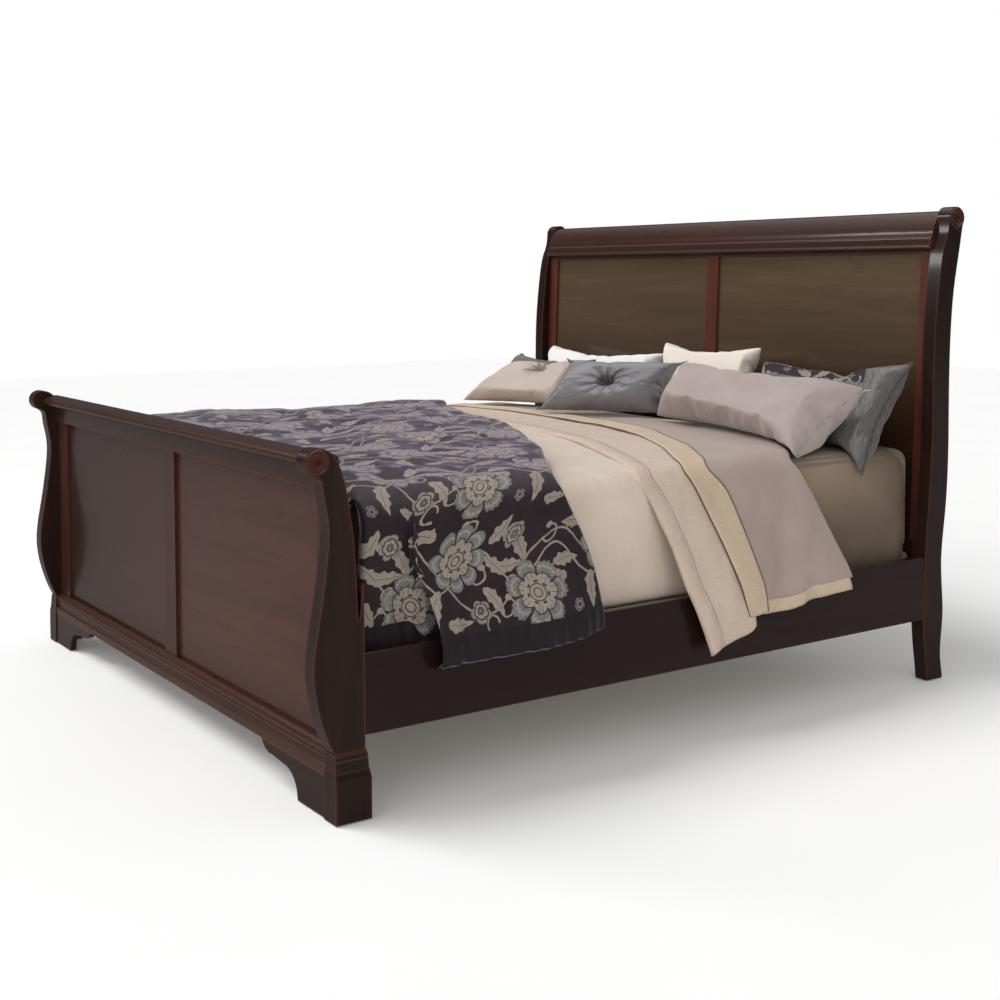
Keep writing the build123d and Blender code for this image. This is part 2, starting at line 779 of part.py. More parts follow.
def draped(y_low, y_high, gap, thick, hem, flare_half=0.0, flare_sides=()):
    """A layer over the mattress that hangs down both sides.

    On flare_sides the cloth slopes out past the rail to flare_half; elsewhere it hangs inside."""
    inside_hem = rail_top + 12.0
    knee = rail_top + 20.0
    with BuildPart() as layer:
        with BuildSketch(Plane.XZ.offset(-y_high)):
            with BuildLine():
                tops = []
                hems = []
                for sign in (-1, 1):
                    for grow in (gap, gap + thick):
                        half, top = bed_half + grow, bed_top + grow
                        round_off = mattress_radius + grow
                        if sign in flare_sides:
                            low_half, low = flare_half + grow, hem
                            side_of_drape(sign, half, top, round_off, low_half, knee, low)
                        else:
                            low_half, low = half, inside_hem
                            side_of_drape(sign, half, top, round_off, low_half, inside_hem + 20, low)
                        hems.append((sign * low_half, low))
                        tops.append((sign * (half - round_off), top))
                Line(hems[0], hems[1])
                Line(hems[2], hems[3])
                Line(tops[0], tops[2])
                Line(tops[1], tops[3])
            make_face()
        extrude(amount=y_high - y_low)
    return layer.part


layer_gap = 0.6
coverlet_thick = 9.0
fold_thick = 14.0
coverlet_end = foot_face + 1150.0
linen_end = foot_face + 1430.0
flat_sheet_end = foot_face + 1800.0
cover_foot = foot_face + 104.0
fold_flare = rail_outer + 1.0
linen_hem = 275.0
flat_sheet_hem = 345.0

save(draped(cover_foot, coverlet_end, layer_gap, coverlet_thick, 0), "coverlet")
linen = draped(coverlet_end + 1, linen_end, layer_gap, fold_thick, linen_hem, fold_flare, (1,))
save(linen, "linen_blanket")
flat_sheet = draped(linen_end + 1, flat_sheet_end, layer_gap, fold_thick, flat_sheet_hem, fold_flare, (1,))
save(flat_sheet, "flat_sheet")

comforter_gap = fold_thick + 2 * layer_gap
comforter_flare = rail_outer - 12.0
comforter_thick = 34.0
tucked_thick = 22.0
comforter_hem = 342.0
tuck_end = foot_face + 262.0
comforter_far = foot_face + 1750.0
head_edge_middle = foot_face + 1240.0
head_edge_slope = 0.46         # the head edge lies nearer the foot on the right
wide = 1200.0

tucked = draped(cover_foot, tuck_end, comforter_gap, tucked_thick, 0)
hanging = draped(
    tuck_end, comforter_far, comforter_gap, comforter_thick, comforter_hem, comforter_flare, (-1, 1)
)
with BuildPart() as comforter:
    add(tucked)
    add(hanging)
    with BuildSketch(Plane.XY):
        with BuildLine():
            near = head_edge_middle - head_edge_slope * wide
            far = head_edge_middle + head_edge_slope * wide
            Polyline((wide, near), (-wide, far), (-wide, far + wide), (wide, far + wide), close=True)
        make_face()
    extrude(amount=wide, mode=Mode.SUBTRACT)
save(comforter.part, "comforter")

# ---------------------------------------------------------------- pillows and cushions
pillow_base = bed_top + fold_thick + layer_gap + 1.0
pillow_corner = 55.0


def pillow_plane(x, y, thick, yaw, lean):
    """Plane in the middle of a leaning pillow; its origin is the middle of the lower edge."""
    lean_up, turn = math.radians(lean), math.radians(yaw)
    level = pillow_base + thick / 2 * math.cos(lean_up)
    along = (math.cos(turn), math.sin(turn), 0)
    normal = (
        math.sin(turn) * math.sin(lean_up), -math.cos(turn) * math.sin(lean_up), math.cos(lean_up)
    )
    return Plane(origin=(x, y, level), x_dir=along, z_dir=normal)


def pillow(plane, width, height, thick):
    """A plain leaning pillow with soft edges."""
    with BuildPart() as cushion:
        with BuildSketch(plane.offset(-thick / 2)):
            with Locations((0, height / 2)):
                RectangleRounded(width, height, pillow_corner)
        extrude(amount=thick)
        rims = cushion.faces().filter_by(Plane(origin=(0, 0, 0), z_dir=plane.z_dir)).edges()
        fillet(rims, thick * 0.42)
    return cushion.part


pillows = {
    # name: x and y (from the foot face) of the lower edge, width, height, thickness, yaw, lean
    "patterned_sham": (690, 1985, 560, 250, 60, -8, 55),
    "back_pillow": (-520, 2050, 660, 230, 60, 2, 65),
    "cream_cushion": (150, 2030, 440, 260, 50, 0, 72),
    "satin_sham": (-710, 1920, 480, 210, 56, 4, 55),
    "linen_pillow": (-650, 1770, 470, 210, 60, 12, 48),
    "king_pillow": (570, 1745, 780, 280, 80, -8, 42),
    "tufted_cushion": (-110, 1772, 430, 220, 90, 33, 55),
}
for name, (x, y, width, height, thick, yaw, lean) in pillows.items():
    save(pillow(pillow_plane(x, foot_face + y, thick, yaw, lean), width, height, thick), name)

x, y, width, height, thick, yaw, lean = pillows["tufted_cushion"]
with BuildPart() as cushion_button:
    with BuildSketch(pillow_plane(x, foot_face + y, thick, yaw, lean).offset(thick / 2)):
        with Locations((0, height / 2)):
            Circle(14)
    extrude(amount=7)
    rims = cushion_button.edges().filter_by(GeomType.CIRCLE)
    fillet(rims.sort_by(Axis.Y)[0], 2.0)
save(cushion_button.part, "cushion_button")
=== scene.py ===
"""Looks for the king-size sleigh bed: woods, hardware, bedding, floor, light and camera."""
import json
import math
import bpy
import numpy as np
from mathutils import Matrix, Vector


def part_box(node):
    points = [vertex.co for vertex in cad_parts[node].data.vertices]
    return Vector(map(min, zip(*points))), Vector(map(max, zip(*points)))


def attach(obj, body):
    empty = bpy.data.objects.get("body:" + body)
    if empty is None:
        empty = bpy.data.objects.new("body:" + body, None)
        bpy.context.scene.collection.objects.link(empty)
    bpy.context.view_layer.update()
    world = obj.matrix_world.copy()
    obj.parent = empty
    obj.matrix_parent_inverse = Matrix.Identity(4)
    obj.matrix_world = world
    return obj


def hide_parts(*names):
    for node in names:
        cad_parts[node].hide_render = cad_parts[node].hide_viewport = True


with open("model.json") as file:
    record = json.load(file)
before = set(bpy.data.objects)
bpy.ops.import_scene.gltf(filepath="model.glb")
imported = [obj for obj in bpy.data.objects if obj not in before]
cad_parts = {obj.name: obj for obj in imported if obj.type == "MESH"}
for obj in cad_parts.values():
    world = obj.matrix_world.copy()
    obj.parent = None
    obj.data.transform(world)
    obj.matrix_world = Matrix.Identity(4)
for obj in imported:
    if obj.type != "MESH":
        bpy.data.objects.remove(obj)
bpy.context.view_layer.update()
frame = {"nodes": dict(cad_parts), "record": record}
nodes = frame["nodes"]


# ---------------------------------------------------------------- shader graph helpers
class Val:
    """A number or a socket in a node tree, with arithmetic that adds Math nodes."""

    def __init__(self, tree, socket):
        self.tree = tree
        self.socket = socket

    def op(self, name, *others):
        node = self.tree.nodes.new("ShaderNodeMath")
        node.operation = name
        for slot, value in zip(node.inputs, (self,) + others):
            if isinstance(value, Val):
                self.tree.links.new(value.socket, slot)
            else:
                slot.default_value = value
        return Val(self.tree, node.outputs[0])

    def __add__(self, other):
        return self.op("ADD", other)

    def __sub__(self, other):
        return self.op("SUBTRACT", other)

    def __mul__(self, other):
        return self.op("MULTIPLY", other)

    def __truediv__(self, other):
        return self.op("DIVIDE", other)

    def __neg__(self):
        return self.op("MULTIPLY", -1.0)

    def under(self, limit, soft):
        """1 where the value is below limit, 0 above it, over a soft step."""
        node = self.tree.nodes.new("ShaderNodeMapRange")
        node.interpolation_type = "SMOOTHSTEP"
        node.inputs["From Min"].default_value = limit - soft
        node.inputs["From Max"].default_value = limit + soft
        node.inputs["To Min"].default_value = 1.0
        node.inputs["To Max"].default_value = 0.0
        self.tree.links.new(self.socket, node.inputs["Value"])
        return Val(self.tree, node.outputs["Result"])

    def near(self, limit, soft):
        """1 where the value is within limit of zero, over a soft step."""
        return self.op("ABSOLUTE").under(limit, soft)

    def flipped(self):
        """One minus the value."""
        return self * -1.0 + 1.0


def distance(a, b):
    """How far the place (a, b) is from zero."""
    return (a * a + b * b).op("SQRT")


class Material:
    """A node material round one Principled shader."""

    def __init__(self, name, **sockets):
        self.mat = bpy.data.materials.new(name)
        self.mat.use_nodes = True
        self.tree = self.mat.node_tree
        self.shader = self.tree.nodes["Principled BSDF"]
        self.preset(**sockets)

    def preset(self, **sockets):
        for key, value in sockets.items():
            self.shader.inputs[key.replace("_", " ")].default_value = value

    def node(self, kind, props=(), **inputs):
        made = self.tree.nodes.new(kind)
        for key, value in dict(props).items():
            setattr(made, key, value)
        for key, value in inputs.items():
            self.put(value, made.inputs[key.replace("_", " ")])
        return made

    def put(self, value, socket):
        if isinstance(value, Val):
            self.tree.links.new(value.socket, socket)
        elif isinstance(value, bpy.types.NodeSocket):
            self.tree.links.new(value, socket)
        else:
            socket.default_value = value

    def val(self, socket):
        return Val(self.tree, socket)

    def uv(self, name="cloth"):
        return self.node("ShaderNodeUVMap", {"uv_map": name}).outputs[0]

    def position(self, scale=(1, 1, 1)):
        coord = self.node("ShaderNodeTexCoord").outputs["Object"]
        return self.scaled(coord, scale)

    def scaled(self, vector, scale):
        mapping = self.node("ShaderNodeMapping", Vector=vector)
        mapping.inputs["Scale"].default_value = scale
        return mapping.outputs[0]

    def split(self, vector):
        made = self.node("ShaderNodeSeparateXYZ", Vector=vector)
        return [self.val(made.outputs[i]) for i in range(3)]

    def attribute(self, name):
        return self.val(self.node("ShaderNodeAttribute", {"attribute_name": name}).outputs["Fac"])

    def noise(self, vector, scale=1.0, detail=3.0, rough=0.5, distort=0.0):
        made = self.node(
            "ShaderNodeTexNoise", Vector=vector, Scale=scale, Detail=detail, Roughness=rough,
            Distortion=distort,
        )
        return self.val(made.outputs["Fac"])

    def cloth_noise(self, across, along, detail=3.0, rough=0.5, distort=0.0, scale=1.0):
        """Noise over the flat layout of a cloth, in cells per metre."""
        return self.noise(self.scaled(self.uv(), (across, along, 1)), scale, detail, rough, distort)

    def ramp(self, fac, stops):
        made = self.node("ShaderNodeValToRGB", Fac=fac)
        elements = made.color_ramp.elements
        while len(elements) < len(stops):
            elements.new(0.5)
        for element, (place, color) in zip(elements, stops):
            element.position = place
            element.color = tuple(color) + (1.0,)
        return made.outputs["Color"]

    def mix(self, fac, a, b):
        made = self.node("ShaderNodeMix", {"data_type": "RGBA"})
        self.put(fac, made.inputs["Factor"])
        for value, socket in ((a, made.inputs[6]), (b, made.inputs[7])):
            self.put(tuple(value) + (1.0,) if isinstance(value, (tuple, list)) else value, socket)
        return made.outputs[2]

    def color(self, value):
        self.put(value, self.shader.inputs["Base Color"])

    def rough(self, fac, low, high):
        made = self.node("ShaderNodeMapRange", Value=fac)
        made.inputs["To Min"].default_value = low
        made.inputs["To Max"].default_value = high
        self.put(made.outputs["Result"], self.shader.inputs["Roughness"])

    def bump(self, height, distance, strength=1.0):
        """Adds a bump layer on top of those already there."""
        made = self.node("ShaderNodeBump", Height=height, Distance=distance, Strength=strength)
        before = self.shader.inputs["Normal"]
        if before.links:
            self.tree.links.new(before.links[0].from_socket, made.inputs["Normal"])
        self.tree.links.new(made.outputs["Normal"], before)


# ---------------------------------------------------------------- wood, metal and plastic
def wood_material(name, grain, dark, mid, light, coat=0.55, rough=(0.24, 0.40), wear=None, painted_gradient=None):
    """Lacquered timber with its grain along X, Y or Z."""
    m = Material(name, Coat_Weight=coat, Coat_Roughness=0.12, Coat_IOR=1.42, Specular_IOR_Level=0.30)
    along = {"X": (1.1, 16, 16), "Y": (16, 1.1, 16), "Z": (16, 16, 1.1)}[grain]
    figure = m.noise(m.position(along), 1.0, 6.0, 0.62, 0.6)
    broad = m.noise(m.position(tuple(a * 0.16 for a in along)), 1.0, 3.0, 0.5, 0.4)
    fine = m.noise(m.position(tuple(a * 11.0 for a in along)), 1.0, 2.0, 0.6)
    tone = figure * 0.55 + broad * 0.75 - 0.15
    color = m.ramp(tone, [(0.18, dark), (0.52, mid), (0.86, light)])
    pores = fine.under(0.36, 0.07)
    color = m.mix(pores * 0.55, color, dark)
    if wear:
        edge = m.node("ShaderNodeAmbientOcclusion", {"inside": True, "samples": 6}, Distance=0.006)
        worn = m.val(edge.outputs["AO"]).under(0.72, 0.22) * (broad.under(0.42, 0.2) * -0.5 + 1.0)
        color = m.mix(worn * 0.60, color, wear)
    # painted_gradient paints light and shade: it mixes a darker tone in along one axis, in place of the way
    # light falls across a panel
    if painted_gradient:
        axis, low, high, painted_tone = painted_gradient
        place = m.split(m.position())["XYZ".index(axis)]
        color = m.mix(place.under((low + high) / 2, (high - low) / 2), color, painted_tone)
    m.color(color)
    m.rough(figure, *rough)
    m.bump(fine, 0.00025, 0.35)
    return m.mat


worn_red = (0.15, 0.036, 0.019)
near_black = (0.008, 0.0030, 0.0024), (0.019, 0.0076, 0.0058), (0.040, 0.0145, 0.0095)
deep_brown = (0.022, 0.0085, 0.0062), (0.044, 0.0175, 0.0120), (0.075, 0.0285, 0.0180)
cherry = {g: wood_material(f"cherry_{g}", g, *near_black, wear=worn_red) for g in "XYZ"}
frame_wood = {g: wood_material(f"cherry_frame_{g}", g, *deep_brown, wear=worn_red) for g in "XZ"}
red_cherry = wood_material(
    "cherry_stile", "Z", (0.045, 0.011, 0.008), (0.100, 0.029, 0.019), (0.150, 0.045, 0.028), wear=worn_red
)
# Painted shade: the foot panel darkens towards its left end, so the lighter right end is a painted reflection
foot_panel_wood = wood_material(
    "cherry_foot_panel", "X", (0.034, 0.0130, 0.0098), (0.062, 0.0235, 0.0170), (0.100, 0.0370, 0.0250),
    coat=0.5, rough=(0.22, 0.36), painted_gradient=("X", -0.9, 0.5, (0.026, 0.0125, 0.0095)),
)
# Painted light: the head panel's olive tone is a painted sheen, and its darker lower part is painted shade
head_panel_wood = wood_material(
    "cherry_head_panel", "X", (0.056, 0.035, 0.0190), (0.092, 0.060, 0.0320), (0.130, 0.086, 0.0480),
    coat=0.6, rough=(0.20, 0.33), painted_gradient=("Z", 0.75, 1.28, (0.036, 0.0170, 0.0095)),
)
pine = {
    grain: wood_material(
        name, grain, (0.34, 0.21, 0.10), (0.48, 0.33, 0.18), (0.60, 0.44, 0.27), coat=0.0, rough=(0.5, 0.7)
    )
    for name, grain in (("pine", "Z"), ("pine_x", "X"))
}


def metal_material():
    m = Material("zinc_steel", Metallic=1.0)
    specks = m.noise(m.position((1, 1, 1)), 260.0, 3.0, 0.6)
    brushed = m.noise(m.position((40, 40, 900)), 1.0, 2.0, 0.5)
    m.color(m.ramp(specks, [(0.3, (0.40, 0.40, 0.38)), (0.7, (0.62, 0.62, 0.60))]))
    m.rough(brushed, 0.26, 0.48)
    m.bump(brushed, 0.0001, 0.4)
    return m.mat


def plastic_material():
    m = Material("glide_plastic", Specular_IOR_Level=0.4)
    grain = m.noise(m.position((1, 1, 1)), 900.0, 2.0, 0.6)
    m.color(m.ramp(grain, [(0.3, (0.018, 0.018, 0.018)), (0.7, (0.045, 0.044, 0.042))]))
    m.rough(grain, 0.45, 0.7)
    m.bump(grain, 0.0002, 0.5)
    return m.mat


def ticking_material():
    m = Material("mattress_ticking", Roughness=0.8, Sheen_Weight=0.2)
    weave = m.noise(m.position((700, 700, 700)), 1.0, 1.0, 0.5)
    quilt = m.node("ShaderNodeTexVoronoi", {"feature": "SMOOTH_F1"}, Vector=m.position((9, 9, 9)), Scale=1.0)
    m.color(m.ramp(weave, [(0.3, (0.13, 0.105, 0.080)), (0.7, (0.19, 0.155, 0.120))]))
    m.bump(m.val(quilt.outputs["Distance"]), 0.004, -0.6)
    m.bump(weave, 0.0004, 0.4)
    return m.mat


plain_finish = {
    "zinc_steel": metal_material(),
    "glide_plastic": plastic_material(),
    "mattress_ticking": ticking_material(),
}

grain_of = {
    "footboard_top_rail": "X", "footboard_bottom_rail": "X", "footboard_base_moulding": "X",
    "bracket_foot_left": "X", "bracket_foot_right": "X", "headboard_bottom_rail": "X",
    "headboard_top_rail": "X", "headboard_crown": "X", "headboard_crown_moulding": "X",
    "side_rail_left": "Y", "side_rail_right": "Y",
}
slot_of = {entry["node"]: entry["material_slot"] for entry in frame["record"]["subparts"]}


def finish_of(name):
    """The material for one carried-over node."""
    group = slot_of[name]
    if group in plain_finish:
        return plain_finish[group]
    if group == "plain_timber":
        return pine["X" if name.startswith("slat_") and name != "slat_legs" else "Z"]
    if "panel" in name:
        return head_panel_wood if "headboard" in name else foot_panel_wood
    if "stile" in name and "headboard" in name:
        return red_cherry
    grain = grain_of.get(name, "Z")
    if "stile" in name or "_rail" in name and "side" not in name or "crown" in name or "moulding" in name:
        return frame_wood[grain]
    return cherry[grain]


def bevel(obj, width, segments=2, angle=30):
    """Eased edges that catch the light."""
    mod = obj.modifiers.new("eased", "BEVEL")
    mod.width = width
    mod.segments = segments
    mod.limit_method = "ANGLE"
    mod.angle_limit = math.radians(angle)
    mod.harden_normals = True


eased = {f"{part}_{side}": width for side in ("left", "right") for part, width in (
    ("footboard_post", 0.0035), ("headboard_post", 0.0035), ("corner_block", 0.0015),
    ("footboard_stile", 0.002), ("headboard_stile", 0.002), ("bracket_foot", 0.002),
)}
eased.update(footboard_center_stile=0.002, headboard_center_stile=0.002)
for name, obj in nodes.items():
    if obj.type != "MESH":
        continue
    obj.data.materials.clear()
    obj.data.materials.append(finish_of(name))
    if name in eased:
        bevel(obj, eased[name])


# ---------------------------------------------------------------- fabrics
def fabric(name, shade, tint, rough=0.75, sheen=0.3, weave=(420, 420), slub=0.25, depth=0.0006, satin=0.0):
    """Woven cloth: two thread directions, slubs, soft mottling and a sheen."""
    m = Material(
        name, Sheen_Weight=sheen, Sheen_Roughness=0.45, Specular_IOR_Level=0.35, Anisotropic=satin
    )
    warp = m.cloth_noise(weave[0], weave[1] * 0.07, 2.0, 0.6)
    weft = m.cloth_noise(weave[0] * 0.07, weave[1], 2.0, 0.6)
    cloud = m.cloth_noise(7, 7)
    threads = warp * 0.5 + weft * 0.5
    tone = threads * slub + cloud * (1.0 - slub)
    m.color(m.ramp(tone, [(0.30, shade), (0.70, tint)]))
    m.rough(threads, rough - 0.10, rough + 0.10)
    m.bump(threads, depth, 0.6)
    return m


def soft_step(value, low, high):
    share = np.clip((value - low) / (high - low), 0.0, 1.0)
    return share * share * (3.0 - 2.0 * share)


def through(points, soften=0.05):
    """A smooth function through (place, value) points."""
    places = np.linspace(points[0][0] - 0.3, points[-1][0] + 0.3, 1200)
    values = np.interp(places, [p[0] for p in points], [p[1] for p in points])
    width = max(3, int(soften / (places[1] - places[0])))
    kernel = np.hanning(width + 2)[1:-1]
    padded = np.pad(values, width, mode="edge")
    values = np.convolve(padded, kernel / kernel.sum(), mode="same")[width:-width]
    return lambda at: np.interp(at, places, values)


def ripple(u, v, seed, octaves=3):
    """Smooth seeded noise about zero, for arrays of places in cells."""
    total = np.zeros_like(u, dtype=float)
    strength, size = 1.0, 1.0
    for octave in range(octaves):
        grid = np.random.RandomState(seed + 31 * octave).uniform(-1, 1, (64, 64))
        x, y = u * size + 5.3 * octave, v * size + 9.1 * octave
        i, j = np.floor(x).astype(int), np.floor(y).astype(int)
        fx, fy = x - i, y - j
        fx, fy = fx * fx * (3 - 2 * fx), fy * fy * (3 - 2 * fy)
        low = grid[i % 64, j % 64] * (1 - fx) + grid[(i + 1) % 64, j % 64] * fx
        high = grid[i % 64, (j + 1) % 64] * (1 - fx) + grid[(i + 1) % 64, (j + 1) % 64] * fx
        total += strength * (low * (1 - fy) + high * fy)
        strength, size = strength * 0.5, size * 2.0
    return total


foot_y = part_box("corner_block_right")[0][1]
bed_low, bed_high = [Vector(c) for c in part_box("mattress")]
rail_high = Vector(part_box("side_rail_right")[1])
half_bed, bed_top = bed_high.x, bed_high.z
rail_out, rail_top = rail_high.x, rail_high.z


def section(height, foot_x, crown):
    """Half cross-section of a cloth over the bed: arrays of arc length, x and z.

    height is its height above the mattress; foot_x is where it meets the rail's top level."""
    radius = 0.055 + height
    side = half_bed + height
    top = bed_top + height
    knee_z = rail_top + 0.018
    slope = math.atan2(foot_x - side, top - radius - knee_z)
    points = []
    for share in np.linspace(0, 1, 60):
        x = share * (side - radius)
        points.append((x, top + crown * (1 - share**3)))
    for share in np.linspace(0.05, 1, 24):
        angle = share * (math.pi / 2 - slope)
        points.append((side - radius + radius * math.sin(angle), top - radius + radius * math.cos(angle)))
    last_x, last_z = points[-1]
    for share in np.linspace(0.05, 1, 30):
        points.append((last_x + (foot_x - last_x) * share, last_z + (knee_z - last_z) * share))
    points.append((foot_x + 0.002, knee_z - 0.03))
    points.append((foot_x + 0.004, 0.10))
    line = np.array(points)
    steps = np.hypot(*np.diff(line, axis=0).T)
    arc = np.concatenate([[0], np.cumsum(steps)])
    fine = np.arange(0, arc[-1], 0.004)
    x, z = np.interp(fine, arc, line[:, 0]), np.interp(fine, arc, line[:, 1])
    kernel = np.hanning(13)[1:-1]
    kernel /= kernel.sum()
    x = np.convolve(np.pad(x, 5, mode="reflect", reflect_type="odd"), kernel, mode="valid")
    z = np.convolve(np.pad(z, 5, mode="reflect", reflect_type="odd"), kernel, mode="valid")
    return fine, x, z


def add_object(name, data):
    obj = bpy.data.objects.new(name, data)
    bpy.context.collection.objects.link(obj)
    return obj


def cloth_mesh(name, points, faces, layout, material):
    """A smooth mesh whose flat layout in metres is the UV map called cloth.

    Returns the object and the layout at each corner of each face."""
    mesh = bpy.data.meshes.new(name)
    mesh.from_pydata(points.tolist(), [], faces)
    layer = mesh.uv_layers.new(name="cloth")
    corners = np.empty(len(mesh.loops), dtype=int)
    mesh.loops.foreach_get("vertex_index", corners)
    layer.data.foreach_set("uv", layout[corners].ravel())
    mesh.materials.append(material)
    mesh.polygons.foreach_set("use_smooth", [True] * len(mesh.polygons))
    return add_object(name, mesh), layout[corners]


def grid_mesh(name, points, uv, material, thickness=0.0):
    """A cloth mesh from a grid of points."""
    rows, columns = points.shape[:2]
    index = np.arange(rows * columns).reshape(rows, columns)
    quads = np.stack([index[:-1, :-1], index[:-1, 1:], index[1:, 1:], index[1:, :-1]], axis=-1).reshape(-1, 4)
    obj, _ = cloth_mesh(name, points.reshape(-1, 3), quads.tolist(), uv.reshape(-1, 2), material)
    if thickness:
        mod = obj.modifiers.new("thickness", "SOLIDIFY")
        mod.thickness = thickness
        mod.offset = -1.0
    return obj


def drape(name, material, start, end, left, right, height, crown=0.012, out=None, edge=0.008,
          pitch=0.012, wrinkle=None, fold=None, thickness=0.003, foot_drop=False):
    """A cloth laid over the bed.

    start and end give its edges as distances from the foot, at each place s across the bed; left and
    right give how far it reaches across the bed at each distance from the foot; out says, for s and
    the distance, how far it hangs outside the rail; wrinkle adds height; fold is a pleat near the foot."""
    y_middle = np.linspace(0.05, 2.2, 40)
    reach = max(np.max(left(y_middle)), np.max(right(y_middle)))
    columns = int(2 * reach / pitch)
    across = np.linspace(-1, 1, columns)
    length = np.max(end(np.linspace(-reach, reach, 60)) - start(np.linspace(-reach, reach, 60)))
    rows = max(6, int(length / pitch))
    share, s = np.meshgrid(np.linspace(0, 1, rows), across * reach, indexing="ij")
    s_low, s_high = start(s), end(s)
    extra = fold(s)[0] if fold else 0.0
    t = s_low + (s_high + extra - s_low) * share
    y = t.copy()
    outside = out(s, t) if out else np.zeros_like(s)
    if fold:
        slack, begin, length = fold(s)
        turn = soft_step(t, begin, begin + length)
        y = t - slack * turn
        outside = turn * soft_step(np.abs(s), 0.93, 1.05)
    limit = np.where(s > 0, right(y), left(y))
    body = 0.90
    beyond = np.clip((np.abs(s) - body) / (reach - body), 0, None)
    s = np.where(np.abs(s) > body, np.sign(s) * (body + beyond * (limit - body)), s)
    size = np.abs(s)
    arc, x_in, z_in = section(height, half_bed + 0.012 + height * 0.5, crown)
    _, x_out, z_out = section(height, rail_out + 0.006 + height, crown)
    shorter = min(len(x_in), len(x_out))
    x = np.interp(size, arc[:shorter], x_in[:shorter]) * (1 - outside)
    x += np.interp(size, arc[:shorter], x_out[:shorter]) * outside
    z = np.interp(size, arc[:shorter], z_in[:shorter]) * (1 - outside)
    z += np.interp(size, arc[:shorter], z_out[:shorter]) * outside
    tilt = soft_step(size, half_bed - 0.055, half_bed + 0.03)
    rim = np.minimum(np.minimum((s_high + extra) - t, t - s_low), limit - size)
    bulge = -edge * (1 - np.sqrt(np.clip(1 - np.clip(1 - rim / 0.016, 0, 1) ** 2, 0, 1)))
    if wrinkle:
        bulge = bulge + wrinkle(s, y, size, rim)
    x = x + bulge * tilt
    z = z + bulge * (1 - tilt)
    if foot_drop:
        over = np.clip(0.165 - y, 0, 0.062)
        z -= (0.062 - np.sqrt(np.clip(0.062**2 - over**2, 0, None))) * (1 - tilt)
    points = np.stack([np.sign(s + 1e-9) * x, foot_y + y, z], axis=-1)
    obj = grid_mesh(name, points, np.stack([s, t], axis=-1), material, thickness)
    for label, values in (("hem", limit - size), ("edge", t - s_low)):
        data = obj.data.attributes.new(label, "FLOAT", "POINT")
        data.data.foreach_set("value", values.ravel())
    obj["rows"] = rows
    return obj


# ---------------------------------------------------------------- the layers of bedding
comforter_edge = through([
    (-1.40, 1.62), (-1.0, 1.60), (-0.66, 1.46), (-0.36, 1.29), (-0.15, 1.235), (0.13, 1.154), (0.42, 1.041),
    (0.70, 0.897), (0.90, 0.765), (0.985, 0.725), (1.06, 0.745), (1.15, 0.779), (1.24, 0.798), (1.40, 0.806),
], 0.10)
linen_edge = through([
    (-1.40, 1.45), (-1.0, 1.44), (-0.5, 1.41), (0.0, 1.37), (0.31, 1.285), (0.55, 1.205), (0.77, 1.11),
    (0.90, 1.045), (0.98, 1.012), (1.06, 1.052), (1.18, 1.092), (1.30, 1.118), (1.42, 1.172), (1.50, 1.200),
], 0.07)
first_piping = through([
    (-1.40, 1.66), (-0.5, 1.645), (0.10, 1.600), (0.45, 1.488), (0.70, 1.36), (0.90, 1.225), (0.98, 1.19),
    (1.04, 1.218), (1.17, 1.264), (1.34, 1.318), (1.45, 1.355),
], 0.08)
second_piping = through([
    (-1.40, 1.75), (-0.5, 1.73), (0.05, 1.69), (0.37, 1.615), (0.70, 1.46), (0.90, 1.325), (0.98, 1.275),
    (1.05, 1.332), (1.18, 1.370), (1.31, 1.400), (1.45, 1.440),
], 0.08)
sheet_head = through([
    (-1.40, 1.90), (0.40, 1.95), (0.75, 1.79), (0.98, 1.630), (1.11, 1.687), (1.25, 1.738), (1.42, 1.795),
], 0.05)


def constant(value):
    return lambda at: np.full_like(np.asarray(at, dtype=float), value)


def right_only(s, t):
    return soft_step(s, 0.90, 1.02)


coverlet_cloth = fabric(
    "cream_sateen", (0.60, 0.495, 0.405), (0.69, 0.585, 0.490), 0.62, 0.20, (520, 520), 0.3
)
linen_cloth = fabric(
    "beige_linen", (0.48, 0.375, 0.300), (0.66, 0.535, 0.435), 0.85, 0.15, (260, 260), 0.65, 0.0011
)
taupe_cloth = fabric("taupe_cotton", (0.34, 0.262, 0.228), (0.41, 0.322, 0.284), 0.58, 0.22, (620, 620), 0.25)
band_cloth = fabric("cream_pleats", (0.62, 0.470, 0.325), (0.75, 0.590, 0.430), 0.70, 0.15, (480, 480), 0.3)
edge_at = band_cloth.attribute("edge")
pleat_lines = (edge_at * (2 * math.pi / 0.0125)).op("SINE").op("ABSOLUTE")
band_cloth.bump(pleat_lines, 0.0035, 0.8)
edge_at = linen_cloth.attribute("edge")
stitched = (edge_at - 0.058).near(0.0022, 0.0010).op(
    "MAXIMUM", (edge_at - 0.046).near(0.0014, 0.0008))
linen_cloth.bump(edge_at.under(0.058, 0.001) - stitched, 0.0030, 0.9)
for cloth, size, height in ((coverlet_cloth, 5, 0.018), (linen_cloth, 7, 0.014), (taupe_cloth, 5, 0.016)):
    cloth.bump(cloth.cloth_noise(size, size * 1.6, distort=0.9), height, 0.5)
piping_cloth = fabric("dark_piping", (0.045, 0.032, 0.030), (0.09, 0.066, 0.060), 0.6, 0.3, (900, 900), 0.5)


def coverlet_wrinkle(s, y, size, rim):
    pull = soft_step(size, 0.80, 1.05)
    top = 0.004 * ripple(s * 2.2, y * 3.0, 3) * (1 - pull)
    side = 0.004 * pull * (ripple(y * 7.0, s * 1.2, 4) + 1.2)
    return top + side * soft_step(y, 0.45, 0.65)


coverlet = drape(
    "coverlet_cloth", coverlet_cloth.mat, constant(0.15), lambda s: linen_edge(s) + 0.12,
    constant(1.31), constant(1.31), 0.013, wrinkle=coverlet_wrinkle, thickness=0.006,
)


